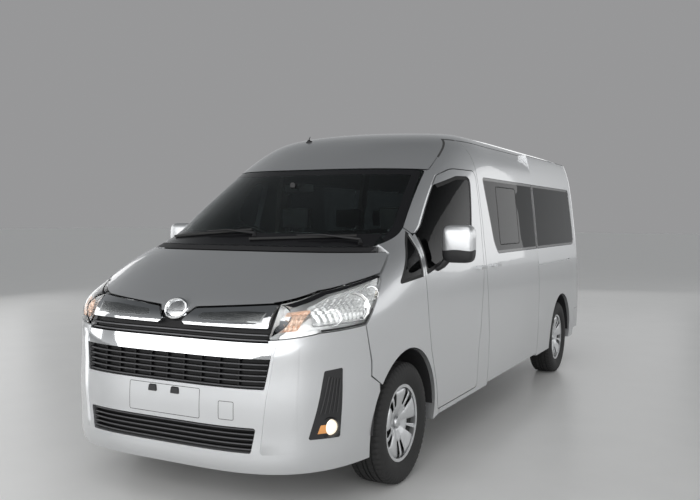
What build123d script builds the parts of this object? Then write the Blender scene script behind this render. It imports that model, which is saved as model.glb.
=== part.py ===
"""Long-wheelbase high-roof passenger van, in millimetres.

Frame: origin on the ground under the middle of the body, front towards -Y, +X is the vehicle's
left, +Z is up. Each sub-part is written to parts/NODE.step.
"""
from build123d import *
from bisect import bisect_right
from functools import cache
from math import cos, dist, pi, sin
import os

# ---------------------------------------------------------------- driving dimensions
LENGTH = 5915
WIDTH = 1950
HEIGHT = 2280
WHEELBASE = 3860
FRONT_OVERHANG = 1000
TRACK_FRONT = 1675
TRACK_REAR = 1670
TYRE_RADIUS = 354
TYRE_WIDTH = 225
RIM_RADIUS = 216

WALL = 60            # doors and body sides, skin to trim
NOSE_WALL = 40       # bonnet, wings and bumper, skin to back
SEAM = 6             # gap between two panels
GLASS = 5
GLASS_INSET = 4      # glass lies this far inside the skin
GLASS_GAP = 0.5      # adhesive line between glass and panel
SEAT_GAP = 0.3       # seated pieces lie this far from what carries them
ARCH_RADIUS = 432
ARCH_Z = TYRE_RADIUS + 10
SILL_Z = 300         # lower edge of the body
DOOR_LOW = 337       # lower edge of the front doors
BELT_Z = 1278        # lower edge of the side glass
HEAD_Z = HEIGHT - 420   # upper edge of the side glass
DITCH_Z = HEIGHT - 150  # where the sides end and the roof panel starts
HEADER_Z = HEIGHT - 400  # upper edge of the windscreen
COWL_Z = 1385        # where the cowl ends and the windscreen starts
HOOD_TOP = 1350      # upper edge of the bonnet
FLOOR_Z = 520
FLOOR_THICK = 40

FRONT = -LENGTH / 2
REAR = LENGTH / 2
AXLE_F = FRONT + FRONT_OVERHANG
AXLE_R = AXLE_F + WHEELBASE
HALF = WIDTH / 2


# ---------------------------------------------------------------- body surface
def curve(table):
    """Monotone cubic through the (x, value) rows of a table."""
    xs = [row[0] for row in table]
    vs = [row[1] for row in table]
    spans = [b - a for a, b in zip(xs, xs[1:])]
    slopes = [(b - a) / h for a, b, h in zip(vs, vs[1:], spans)]
    rates = [slopes[0]]
    for i in range(1, len(slopes)):
        if slopes[i - 1] * slopes[i] <= 0:
            rates.append(0)
        else:
            h0, h1 = spans[i - 1], spans[i]
            weight = (2 * h1 + h0) / slopes[i - 1] + (h1 + 2 * h0) / slopes[i]
            rates.append(3 * (h0 + h1) / weight)
    rates.append(slopes[-1])

    def value(x):
        x = min(max(x, xs[0]), xs[-1])
        i = min(bisect_right(xs, x) - 1, len(spans) - 1)
        h = spans[i]
        t = (x - xs[i]) / h
        start = (1 + 2 * t) * (1 - t) ** 2 * vs[i] + t * (1 - t) ** 2 * h * rates[i]
        end = t * t * (3 - 2 * t) * vs[i + 1] + t * t * (t - 1) * h * rates[i + 1]
        return start + end

    return value


# set-back of the front centre line behind the nose, by height
nose_line = curve([
    (220, 40), (300, 0), (550, 0), (800, 15), (1020, 70), (1090, 140), (1170, 280), (1285, 500),
    (1380, 700), (1575, 1000), (1735, 1250), (HEADER_Z, 1490), (HEIGHT - 250, 1750),
    (HEIGHT - 100, 2010), (HEIGHT + 120, 2400)])
# half width of the body side, by height
side_line = curve([
    (220, HALF - 30), (300, HALF - 22), (450, HALF - 10), (850, HALF), (1150, HALF - 9),
    (BELT_Z, HALF - 23), (HEAD_Z, HALF - 85), (HEIGHT - 320, HALF - 100),
    (HEIGHT - 200, HALF - 125), (HEIGHT - 80, HALF - 150), (HEIGHT + 120, HALF - 190)])
# how square the front is in plan, by height
square_line = curve([(220, 3.8), (800, 3.8), (1100, 4.5), (1250, 4.5), (1450, 3.4), (2400, 3.4)])
# set-back of the tail ahead of the rearmost point, by height
tail_line = curve([
    (220, 0), (500, 0), (1300, 50), (HEIGHT - 380, 110), (HEIGHT - 120, 190), (HEIGHT + 120, 290)])
# centre line of the roof, by length
roof_line = curve([
    (FRONT, HEIGHT - 290), (AXLE_F + 490, HEIGHT - 205), (AXLE_F + 1050, HEIGHT - 115),
    (AXLE_F + 1500, HEIGHT - 63), (AXLE_F + 2200, HEIGHT - 16), (AXLE_F + 3000, HEIGHT),
    (REAR - 915, HEIGHT - 4), (REAR, HEIGHT - 35)])

NOSE_DEPTH = 1250    # length over which the front rounds into the sides
TAIL_DEPTH = 420
TAIL_SQUARE = 4.5
ROOF_DROP = 75       # fall of the roof from its middle to its sides
EDGE_POWER = 14      # how tight the roof edge is
EDGE_LENGTH = 700


def fill(x, y, z, inset):
    """1 on the body surface moved in by inset, less inside."""
    half = side_line(z) - inset
    ahead = (FRONT + nose_line(z) + inset + NOSE_DEPTH - y) / NOSE_DEPTH
    behind = (y - REAR + tail_line(z) + inset + TAIL_DEPTH) / TAIL_DEPTH
    across = abs(x / half)
    if ahead > 0:
        power = square_line(z)
        wall = (across ** power + ahead ** power) ** (1 / power)
    elif behind > 0:
        wall = (across ** TAIL_SQUARE + behind ** TAIL_SQUARE) ** (1 / TAIL_SQUARE)
    else:
        wall = across
    crown = roof_line(y) - inset - ROOF_DROP * (x / HALF) ** 2
    roof = max(0, 1 + (z - crown) / EDGE_LENGTH)
    return (wall ** EDGE_POWER + roof ** EDGE_POWER) ** (1 / EDGE_POWER)


def reach(point_at, limit):
    """Distance along a ray at which it meets the surface."""
    low, high = 0, limit
    for _ in range(18):
        middle = (low + high) / 2
        if point_at(middle) < 1:
            low = middle
        else:
            high = middle
    return low


def spaced(points, count):
    """The polyline through points, divided into count equal lengths."""
    run = [0]
    for a, b in zip(points, points[1:]):
        run.append(run[-1] + dist(a, b))
    result = []
    for i in range(count + 1):
        want = run[-1] * i / count
        j = min(bisect_right(run, want) - 1, len(points) - 2)
        t = (want - run[j]) / (run[j + 1] - run[j])
        result.append(tuple(a + (b - a) * t for a, b in zip(points[j], points[j + 1])))
    return result


def both_sides(half_row):
    """A row from the side to the middle, continued to the other side."""
    return half_row + [(-x, y, z) for x, y, z in half_row[-2::-1]]


def nose_row(z, inset):
    """Plan outline of the front at one height."""
    half = side_line(z) - inset
    start = FRONT + nose_line(z) + inset
    power = 2 / square_line(z)
    row = [(half, NOSE_END, z)]
    for i in range(121):
        angle = pi / 2 * i / 120
        row.append((half * cos(angle) ** power, start + NOSE_DEPTH * (1 - sin(angle) ** power), z))
    return both_sides(spaced(row, 17))


def mid_row(y, inset):
    """Cross-section of the cabin at one length."""
    row = []
    for i in range(8):
        z = MID_LOW + (MID_AXIS - MID_LOW) * i / 8
        row.append((reach(lambda r: fill(r, y, z, inset), 1600), y, z))
    for i in range(61):
        angle = pi / 2 * (1 - i / 60)
        out = reach(lambda r: fill(r * sin(angle), y, MID_AXIS + r * cos(angle), inset), 1600)
        row.append((out * sin(angle), y, MID_AXIS + out * cos(angle)))
    return both_sides(spaced(row, 14))


def tail_row(z, inset):
    """Plan outline of the rear at one height."""
    centre = REAR - TAIL_DEPTH - 100
    row = []
    for i in range(12):
        y = TAIL_START + (centre - TAIL_START) * i / 12
        row.append((reach(lambda r: fill(r, y, z, inset), 1600), y, z))
    for i in range(61):
        angle = pi / 2 * i / 60
        out = reach(lambda r: fill(r * cos(angle), centre + r * sin(angle), z, inset), 2400)
        row.append((out * cos(angle), centre + out * sin(angle), z))
    return both_sides(spaced(row, 18))


def lofted(rows):
    """Solid behind a smooth skin through the rows; its other faces are flat."""
    last = len(rows[0]) - 1
    steps = [i / last for i in range(last + 1)]
    curves = [Edge.make_spline([Vector(*point) for point in row], parameters=steps) for row in rows]
    skin = Shell.make_loft([Wire([edge]) for edge in curves], False).faces()[0]
    ends = [curves[0], curves[-1]]
    closers = [Edge.make_line(edge @ 1, edge @ 0) for edge in ends]
    caps = [Face(Wire([edge, line])) for edge, line in zip(ends, closers)]
    middle = len(rows) // 2
    sides = [min(skin.edges(), key=lambda edge: edge.distance_to(Vector(*rows[middle][i])))
             for i in (0, -1)]
    back = Face(Wire([sides[0], closers[0], sides[1], closers[1]]))
    return Solid(Shell([skin, back] + caps))


NOSE_END = AXLE_F + 1400
MID_LOW = 240
MID_AXIS = 720
TAIL_START = AXLE_F + 2800

NOSE_LEVELS = [220, 260, 310, 400, 520, 660, 800, 900, 980, 1045, 1100, 1150, 1205, 1260, 1310]
MID_NOSE = [90, 140, 200, 270, 350, 450, 570, 700, 850, 1000, 1170, 1350, 1550, 1760, 1980, 2220]
MID_ROOF = 9         # further cross-sections from the cab roof to the tail
MID_TAIL = [430, 350, 290, 245, 215, 196]
MID_STATIONS = [FRONT + step for step in MID_NOSE]
MID_STEP = (REAR - MID_TAIL[0] - MID_STATIONS[-1]) / MID_ROOF
MID_STATIONS += [MID_STATIONS[-1] + MID_STEP * (i + 1) for i in range(MID_ROOF)]
MID_STATIONS += [REAR - step for step in MID_TAIL[1:]]
TAIL_LEVELS = [220, 300, 420, 600, 900, 1150, BELT_Z, 1450, 1650, HEAD_Z, HEIGHT - 320,
               HEIGHT - 230, HEIGHT - 150, HEIGHT - 110]


@cache
def nose_solid(inset):
    return lofted([nose_row(z, inset) for z in NOSE_LEVELS])


@cache
def mid_solid(inset):
    """The cabin, without the stations that the inset leaves outside."""
    first, last = FRONT + 60 + inset, REAR - 150 - inset
    return lofted([mid_row(y, inset) for y in MID_STATIONS if first < y < last])


@cache
def tail_solid(inset):
    return lofted([tail_row(z, inset) for z in TAIL_LEVELS])


# ---------------------------------------------------------------- outlines and cutting tools
def outline(*corners):
    """Face with the given (u, v, radius) corners."""
    face = make_face(Polyline(*[(u, v) for u, v, _ in corners], close=True))
    for u, v, radius in corners:
        if radius:
            corner = face.vertices().sort_by_distance((u, v, 0))[0]
            face = fillet(corner, radius)
    return face


def grown(face, amount):
    """The face with its edge moved out by amount."""
    return offset(face, amount=amount, kind=Kind.INTERSECTION)


def side_cut(face, near=0, far=HALF + 60):
    """Prism across the body through a (y from the front axle, z) outline."""
    placed = Plane(origin=(far, AXLE_F, 0), x_dir=(0, 1, 0), z_dir=(1, 0, 0)) * face
    return Solid.extrude(placed.face(), Vector(near - far, 0, 0))


def front_cut(face, start, end):
    """Prism along the body through an (x, z) outline, between two lengths."""
    placed = Plane(origin=(0, start, 0), x_dir=(1, 0, 0), z_dir=(0, -1, 0)) * face
    return Solid.extrude(placed.face(), Vector(0, end - start, 0))


def block(x0, x1, y0, y1, z0, z1):
    """Box between two corners."""
    return Pos((x0 + x1) / 2, (y0 + y1) / 2, (z0 + z1) / 2) * Box(x1 - x0, y1 - y0, z1 - z0)


def mirrored(shape):
    return mirror(shape, about=Plane.YZ)


def pair(shape):
    """The shape and its mirror image, as solids that don't touch."""
    return Compound(children=[*shape.solids(), *mirrored(shape).solids()])


def rod(radius, start, end):
    """Round bar between two points."""
    line = Vector(*end) - Vector(*start)
    plane = Plane(origin=start, z_dir=line)
    return Solid.extrude((plane * Circle(radius)).face(), line)


def save(shape, name):
    export_step(shape, f"parts/{name}.step")


# ---------------------------------------------------------------- panel outlines, y from the front axle
ROOF_END = LENGTH - FRONT_OVERHANG
DOOR = outline(
    (500, DOOR_LOW, 15), (1255, DOOR_LOW, 30), (1258, 600, 300), (1318, 900, 300), (1392, 1200, 300),
    (1405, 1500, 300), (1385, HEAD_Z + 33, 60), (1010, HEAD_Z + 33, 400), (640, HEAD_Z - 70, 300),
    (262, HEAD_Z - 308, 40), (268, 1194, 0), (302, 900, 200), (345, 736, 300), (452, 500, 200))
DOOR_GLASS = outline(
    (290, 1204, 15), (620, 1262, 200), (1185, 1292, 60), (1200, 1480, 0), (1275, HEAD_Z - 8, 55),
    (1040, HEAD_Z - 14, 300), (700, HEAD_Z - 92, 300), (290, HEAD_Z - 330, 15))
CORNER_GLASS = outline((-112, 1171, 12), (238, 1196, 6), (238, 1480, 6), (104, 1354, 200))
SLIDING = outline(
    (1510, 320, 20), (1505, 700, 300), (1475, 905, 300), (1455, 1200, 300), (1455, 1500, 300),
    (1400, DITCH_Z - 6, 0), (2954, DITCH_Z - 6, 0), (2954, 320, 20))
SLIDING_GLASS = outline(
    (1530, HEAD_Z, 30), (1690, 1360, 200), (1765, BELT_Z, 60), (2944, BELT_Z, 6),
    (2944, HEAD_Z, 6))
QUARTER_GLASS = outline((2970, BELT_Z, 6), (4500, BELT_Z, 90), (4440, HEAD_Z, 60), (2970, HEAD_Z, 6))
LAMP = outline(
    (-918, 937, 5), (-801, 1107, 0), (-630, 1165, 0), (-461, 1201, 0), (-239, 1240, 12),
    (-498, 991, 12), (-765, 973, 300))
HOOD = outline(
    (-1100, 1050, 0), (-885, 1050, 0), (-801, 1113, 0), (-630, 1171, 0), (-461, 1207, 0),
    (-245, 1246, 0), (-64, HOOD_TOP - 8, 0), (-64, HOOD_TOP, 0), (-1100, HOOD_TOP, 0))
FENDER = outline(
    (-349, 655, 0), (-432, 708, 0), (-433, 788, 0), (-492, 984, 0), (-233, 1238, 0),
    (-44, 1345, 0), (-44, 1650, 0), (61, 1650, 0), (262, 1449, 0), (520, 1449, 0), (520, SILL_Z, 0),
    (300, SILL_Z - 40, 0))
FRAME = outline(
    (526, SILL_Z, 0), (1504, SILL_Z, 0), (1499, 700, 300), (1469, 905, 300), (1449, 1200, 300),
    (1449, 1500, 300), (1394, DITCH_Z - SEAT_GAP, 0), (1258, DITCH_Z - SEAT_GAP, 0), (781, HEADER_Z - 8, 0),
    (-60, HEADER_Z - 8, 0), (-60, 1660, 0), (67, 1660, 0), (268, 1458, 0), (526, 1458, 0))
BUMPER = outline(
    (-1100, 262, 0), (-300, 262, 0), (-361, 655, 0), (-444, 705, 0), (-445, 788, 0),
    (-498, 985, 0), (-765, 967, 0), (-918, 931, 0), (-1100, 931, 0))
ROOF = outline(
    (400, HEADER_Z, 0), (784, HEADER_Z, 0), (1258, DITCH_Z, 0), (ROOF_END, DITCH_Z, 0),
    (ROOF_END, HEIGHT + 60, 0), (400, HEIGHT + 60, 0))
FOG = outline((-750, 776, 10), (-652, 784, 10), (-664, 428, 10), (-820, 434, 10))
WINDSCREEN = outline(
    (-752, HEADER_Z - 6, 25), (-826, 1490, 150), (-826, 1382, 80), (826, 1382, 80),
    (826, 1490, 150), (752, HEADER_Z - 6, 25))
GRILLE = outline(
    (-594, 690, 8), (-622, 857, 0), (-600, 940, 0), (-598, 1107, 0), (-118, 1072, 0), (-58, 1014, 0),
    (58, 1014, 0), (118, 1072, 0), (598, 1107, 0), (600, 940, 0), (622, 857, 0), (594, 690, 8))
LOW_GRILLE = outline((-530, 368, 12), (-555, 497, 12), (555, 497, 12), (530, 368, 12))
HOOD_LIP = outline(
    (-640, 900, 0), (-640, 1119, 0), (-598, 1113, 0), (-118, 1078, 20), (-58, 1020, 20),
    (58, 1020, 20), (118, 1078, 20), (598, 1113, 0), (640, 1119, 0), (640, 900, 0))

HOOD_HINGE_Y = -50
HOOD_HINGE_Z = 1340
HOOD_BARREL = 10
COWL_HALF = 790
HINGE_X = HALF - 20
DOOR_HINGE_Y = AXLE_F + 195
DOOR_HINGES = (835, 1040)
PIN_RADIUS = 6
PIN_GAP = 0.05
BARREL_RADIUS = 9
POCKET_SKIN = 5       # wing skin left outside a hinge pocket
NECK_DEEP = 118      # the hinge arm passes this far inboard of its pin
NECK_THICK = 10
BARREL_LENGTH = 44
PILLAR = 50          # width of the windscreen pillar seen from ahead


def door_tool(face):
    return side_cut(face, 560, HALF + 10)


def hinge_pin(z):
    """Door hinge pin, fixed in the wing above and below its pocket."""
    tall = BARREL_LENGTH / 2 + 20
    return rod(PIN_RADIUS, (HINGE_X, DOOR_HINGE_Y, z - tall), (HINGE_X, DOOR_HINGE_Y, z + tall))


def hinge_pocket(z):
    """Room in the wing for the barrel and the swing of its arm, behind the skin."""
    tall = BARREL_LENGTH / 2 + 2
    room = block(HINGE_X - NECK_DEEP - 10, HALF + 10, DOOR_HINGE_Y - 20, DOOR_HINGE_Y + 140,
                 z - tall, z + tall)
    return room & slice_of(DOOR_HINGE_Y - 60, DOOR_HINGE_Y + 180, POCKET_SKIN)


def hinge_arms():
    """Barrels on the pins, each with a goose-neck arm back to the inside of the door."""
    arms = []
    deep = HINGE_X - NECK_DEEP
    for z in DOOR_HINGES:
        low, high = z - BARREL_LENGTH / 2, z + BARREL_LENGTH / 2
        back = DOOR_HINGE_Y + (190 if z < 900 else 140)
        arm = rod(BARREL_RADIUS, (HINGE_X, DOOR_HINGE_Y, low), (HINGE_X, DOOR_HINGE_Y, high))
        arm += block(deep, HINGE_X, DOOR_HINGE_Y - NECK_THICK / 2, DOOR_HINGE_Y + NECK_THICK / 2, low, high)
        arm += block(deep, deep + NECK_THICK, DOOR_HINGE_Y - NECK_THICK / 2, back, low, high)
        arm += block(deep, HINGE_X - 20, back - NECK_THICK, back, low, high)
        hole = rod(PIN_RADIUS + PIN_GAP, (HINGE_X, DOOR_HINGE_Y, low - 1), (HINGE_X, DOOR_HINGE_Y, high + 1))
        arms.append(arm - hole)
    return arms


# ---------------------------------------------------------------- body panels
def skin_layer(solid, inset):
    """The outer layer of a body solid, from the skin to a depth."""
    return solid(0) - solid(inset)


nose_shell = skin_layer(nose_solid, NOSE_WALL)
mid_shell = skin_layer(mid_solid, WALL)
hood_shell = skin_layer(mid_solid, NOSE_WALL)
tail_shell = skin_layer(tail_solid, WALL)
mid_rebate = skin_layer(mid_solid, GLASS_INSET + GLASS + GLASS_GAP)
tail_rebate = skin_layer(tail_solid, GLASS_INSET + GLASS + GLASS_GAP)
mid_pane = mid_solid(GLASS_INSET) - mid_solid(GLASS_INSET + GLASS)
tail_pane = tail_solid(GLASS_INSET) - tail_solid(GLASS_INSET + GLASS)
RIM = 28             # width of panel that the edge of a glass lies on


def glazed(panel, face, cut, rebate):
    """The panel with a rebate for a glass and an opening through it."""
    return panel - (rebate & cut(face)) - cut(grown(face, -RIM))


def pane(face, cut, layer):
    return layer & cut(grown(face, -GLASS_GAP))


arch_front = rod(ARCH_RADIUS, (500, AXLE_F, ARCH_Z), (1100, AXLE_F, ARCH_Z))
arch_rear = rod(ARCH_RADIUS, (500, AXLE_R, ARCH_Z), (1100, AXLE_R, ARCH_Z))
door_opening = door_tool(grown(DOOR, SEAM))


def windscreen_cut(face):
    return front_cut(face, AXLE_F - 600, AXLE_F + 1100)


def build_doors():
    door = (mid_shell & door_tool(DOOR)) - windscreen_cut(grown(WINDSCREEN, PILLAR))
    door = glazed(door, DOOR_GLASS, side_cut, mid_rebate) + hinge_arms() + handle(1215, 1345)
    glass = pane(DOOR_GLASS, side_cut, mid_pane) - windscreen_cut(grown(WINDSCREEN, PILLAR))
    for side, turn in (("left", lambda s: s), ("right", mirrored)):
        save(turn(door), f"front_door_{side}")
        save(turn(glass), f"door_glass_{side}")


def handle(start, end):
    """Pull handle between two lengths, on two feet."""
    x = HALF + 22
    low, high = HANDLE_Z - 12, HANDLE_Z + 12
    grip = block(x - 7, x + 7, AXLE_F + start, AXLE_F + end, low, high)
    grip = fillet(grip.edges().filter_by(Axis.Y), 5)
    for y in (start + 4, end - 22):
        grip += block(HALF - 20, x, AXLE_F + y, AXLE_F + y + 18, low + 3, high - 3)
    return grip


HANDLE_Z = 1200
FLAP = outline((1290, 544, 12), (1490, 544, 12), (1475, 906, 12), (1312, 906, 12))
RAIL_Z = 1135
RAIL_START = 2960
RAIL_STOP = 4240


def build_sides():
    fender = (mid_shell & side_cut(FENDER, 560)) - arch_front - door_opening
    fender -= windscreen_cut(WINDSCREEN)
    fender = glazed(fender, CORNER_GLASS, side_cut, mid_rebate)
    near = AXLE_F + HOOD_HINGE_Y
    fender -= rod(HOOD_BARREL + 5, (0, near, HOOD_HINGE_Z), (COWL_HALF + 48, near, HOOD_HINGE_Z))
    fender -= block(0, COWL_HALF + 48, near - 80, near, HOOD_HINGE_Z - 16, HOOD_HINGE_Z + 40)
    for z in DOOR_HINGES:
        fender = fender - hinge_pocket(z) + hinge_pin(z)
    save(pair(fender), "fenders")
    beside_pillar = door_opening - windscreen_cut(grown(WINDSCREEN, PILLAR - SEAM))
    frame = (mid_shell & side_cut(FRAME, 560)) - beside_pillar - windscreen_cut(WINDSCREEN)
    groove = side_cut(FLAP, HALF - 2) - side_cut(grown(FLAP, -SEAM / 2), HALF - 3)
    save(Compound(children=[*(frame - groove).solids(), *mirrored(frame).solids()]), "side_frames")
    sliding = glazed(mid_shell & side_cut(SLIDING, 560), SLIDING_GLASS, side_cut, mid_rebate)
    sliding += handle(1590, 1690)
    save(pair(sliding), "sliding_doors")
    glass = [pane(CORNER_GLASS, side_cut, mid_pane), pane(SLIDING_GLASS, side_cut, mid_pane),
             pane(QUARTER_GLASS, side_cut, tail_pane)]
    save(Compound(children=[solid for g in glass for solid in pair(g).solids()]), "side_glass")
    low = block(-1200, 1200, AXLE_F + 2960, REAR - 60, SILL_Z, DITCH_Z - SEAT_GAP)
    quarter = (tail_shell & low) - arch_rear - tailgate_tool(SEAM) - rear_bumper_tool(SEAM)
    quarter = quarter & block(0, 1200, AXLE_F, REAR, 0, HEIGHT)
    lamp_edge = TAILGATE_HALF + 2 * SEAM
    quarter = glazed(quarter, QUARTER_GLASS, side_cut, tail_rebate)
    quarter -= side_cut(grown(TAIL_LAMP, SEAT_GAP), lamp_edge - SEAT_GAP)
    quarter -= block(HALF - 35, HALF + 20, AXLE_F + RAIL_START, AXLE_F + RAIL_STOP, RAIL_Z - 7, RAIL_Z + 7)
    save(pair(quarter), "rear_quarters")
    save(pair(tail_shell & side_cut(TAIL_LAMP, lamp_edge)), "tail_lamps")


TAILGATE_HALF = 800
TAILGATE_LOW = 590
TAILGATE_TOP = DITCH_Z - SEAM
TAIL_LAMP = outline((4690, 950, 20), (4780, 950, 0), (4960, 950, 0), (4960, 1440, 0), (4740, 1440, 20))
REAR_GLASS = outline(
    (-700, BELT_Z + 5, 60), (700, BELT_Z + 5, 60), (650, HEAD_Z + 30, 60), (-650, HEAD_Z + 30, 60))


def tailgate_tool(gap):
    half = TAILGATE_HALF + gap
    return block(-half, half, REAR - 330 - gap, REAR + 50, TAILGATE_LOW - gap, TAILGATE_TOP + gap)


def rear_bumper_tool(gap):
    return block(-1200, 1200, REAR - 430 - gap, REAR + 50, 0, TAILGATE_LOW - SEAM + gap)


def rear_cut(face):
    return front_cut(face, REAR + 50, REAR - 420)


GATE_HINGE_Y = REAR - 186
GATE_HINGE_Z = DITCH_Z - SEAM / 2
GATE_HINGE_XS = (-460, 460)
GATE_BARREL = 10
GATE_BARREL_HALF = 33


def gate_rod(radius, x, half):
    return rod(radius, (x - half, GATE_HINGE_Y, GATE_HINGE_Z), (x + half, GATE_HINGE_Y, GATE_HINGE_Z))


def gate_hinges(shape):
    """The tailgate with a barrel at each hinge and room for the roof's lugs."""
    for x in GATE_HINGE_XS:
        half = GATE_BARREL_HALF
        shape -= gate_rod(GATE_BARREL + 3, x, half + 30)
        barrel = gate_rod(GATE_BARREL, x, half)
        barrel += block(x - half, x + half, GATE_HINGE_Y - 18, GATE_HINGE_Y, GATE_HINGE_Z - 30, GATE_HINGE_Z)
        shape = shape + barrel - gate_rod(PIN_RADIUS + PIN_GAP, x, half + 1)
    return shape


def roof_hinges(shape):
    """The roof with lugs and a pin at each hinge."""
    for x in GATE_HINGE_XS:
        half = GATE_BARREL_HALF
        shape -= gate_rod(GATE_BARREL + 3, x, half + 2)
        shape += gate_rod(PIN_RADIUS, x, half + 20)
        for side in (-1, 1):
            near = x + side * (half + 14)
            shape += gate_rod(GATE_BARREL, near, 12)
            shape += block(near - 12, near + 12, GATE_HINGE_Y - 40, GATE_HINGE_Y, DITCH_Z, DITCH_Z + 22)
            shape += block(near - 12, near + 12, GATE_HINGE_Y - 8, GATE_HINGE_Y, GATE_HINGE_Z, DITCH_Z + 10)
    return shape


def build_rear():
    gate = tail_shell & tailgate_tool(0)
    gate = gate_hinges(glazed(gate, REAR_GLASS, rear_cut, tail_rebate))
    save(gate, "tailgate")
    save(pane(REAR_GLASS, rear_cut, tail_pane), "rear_glass")
    low = block(-1200, 1200, REAR - 430, REAR + 50, 376, TAILGATE_LOW - SEAM)
    save((tail_shell & low) - arch_rear, "rear_bumper")


def build_roof():
    save(roof_hinges(mid_shell & side_cut(ROOF, -HALF - 60)), "roof")
    save(pane(WINDSCREEN, windscreen_cut, mid_pane), "windscreen")


def pair_of(shape):
    """The shape and its mirror image as one tool."""
    return shape + mirrored(shape)


LAMP_SHELF = outline((-880, 900, 0), (-860, 1000, 0), (-640, 1010, 0), (-540, 1010, 0), (-540, 940, 0))


def build_nose():
    front = block(-1200, 1200, FRONT - 50, AXLE_F - 780, 0, 1500)
    hood = (hood_shell & side_cut(HOOD, -HALF - 60)) - (front_cut(HOOD_LIP, FRONT - 50, AXLE_F - 770))
    row = [Vector(*point) for point in nose_row(HOOD_TOP, 3)]
    edge = Edge.make_spline(row, parameters=[i / (len(row) - 1) for i in range(len(row))])
    cowl = Solid.extrude(Face(Wire([edge, Edge.make_line(edge @ 1, edge @ 0)])), Vector(0, 0, -300))
    hood -= cowl
    near = AXLE_F + HOOD_HINGE_Y
    for turn in (lambda shape: shape, mirrored):
        arm = rod(HOOD_BARREL, (COWL_HALF + 2, near, HOOD_HINGE_Z), (COWL_HALF + 42, near, HOOD_HINGE_Z))
        arm += block(COWL_HALF + 2, COWL_HALF + 42, near - 70, near, HOOD_HINGE_Z - 10, HOOD_HINGE_Z)
        hood += turn(arm - rod(PIN_RADIUS + PIN_GAP, (COWL_HALF, near, HOOD_HINGE_Z),
                               (HALF, near, HOOD_HINGE_Z)))
    save(hood, "hood")
    bumper = (nose_shell & side_cut(BUMPER, -HALF - 60))
    bumper -= front_cut(GRILLE, FRONT - 50, AXLE_F - 700)
    bumper -= front_cut(LOW_GRILLE, FRONT - 50, AXLE_F - 700)
    arch = arch_front
    bumper = bumper - arch - mirrored(arch) - side_cut(FOG) - mirrored(side_cut(FOG))
    shelf = (nose_solid(NOSE_WALL - 4) - nose_solid(NOSE_WALL + 6)) & pair_of(side_cut(LAMP_SHELF, 614))
    shelf -= skin_layer(nose_solid, NOSE_WALL + SEAT_GAP) & pair_of(side_cut(grown(LAMP, SEAM), 500))
    save(bumper + shelf, "front_bumper")
    lamp = (nose_shell & side_cut(LAMP, 605))
    save(pair(lamp), "headlamps")
    save(pair((nose_shell - nose_solid(NOSE_WALL)) & side_cut(grown(FOG, -SEAT_GAP), 560)), "fog_bezels")




# ---------------------------------------------------------------- floor, frame and bulkhead
RAIL_X = 420
RAIL_WIDTH = 80
RAIL_TALL = 90
HOOP = 40
WELL_X = 520         # inner wall of the front wheel wells
WELL_WALL = 6
WELL_PASS = 560      # the axle passes the wheel well's inner wall below this
HOOP_YS = (1450, 2957, 4400)
HOOP_GAPS = (0.9, 1.8, 1.8)
HOOP_HALF = 50
BOW_DROPS = (1.5, 1.5, 16)       # the roof bows lie this much lower than the side posts would lead


def build_floor():
    top, low = FLOOR_Z, FLOOR_Z - FLOOR_THICK
    floor = mid_solid(WALL + 8) & block(-1200, 1200, AXLE_F + 380, REAR - 330, low, top)
    wells = [arch_well(AXLE_F, 0), arch_well(AXLE_R, 0)]
    for well in wells:
        floor = floor - well - mirrored(well)
    save(floor, "floor")
    under = low - SEAT_GAP
    rails = [block(x - RAIL_WIDTH / 2, x + RAIL_WIDTH / 2, FRONT, REAR, under - RAIL_TALL, under)
             for x in (-RAIL_X, RAIL_X)]
    fore = nose_solid(NOSE_WALL + SEAT_GAP) & block(-1200, 1200, FRONT, AXLE_F + 700, 250, 600)
    aft = tail_solid(WALL + SEAT_GAP) & block(-1200, 1200, AXLE_F + 2900, REAR, 250, 600)
    span = block(-1200, 1200, AXLE_F + 600, AXLE_F + 3000, 250, 600)
    frame = (rails[0] + rails[1]) & (fore + span + aft)
    for y in (AXLE_F - 620, AXLE_F + 500, AXLE_F + 1500, AXLE_F + 2500, AXLE_R + 700):
        frame += block(-RAIL_X, RAIL_X, y - 40, y + 40, under - RAIL_TALL + 10, under - 10)
    save(frame, "frame_rails")


def arch_well(y, gap):
    """Space of one wheel, inboard of the body side."""
    radius = ARCH_RADIUS + gap
    return rod(radius, (WELL_X - gap, y, ARCH_Z), (HALF + 100, y, ARCH_Z))


def build_wells():
    wells = []
    for y in (AXLE_F, AXLE_R):
        ring = arch_well(y, -SEAT_GAP) - arch_well(y, -SEAT_GAP - WELL_WALL)
        keep = block(WELL_X, HALF - WALL / 2, y - 600, y + 600, ARCH_Z + 20, 1000)
        wells.append((ring & keep) - block(WELL_X - 20, WELL_X + 20, y - 230, y + 230, 0, WELL_PASS))
    save(Compound(children=[solid for w in wells for solid in pair(w).solids()]), "wheel_wells")


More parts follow.
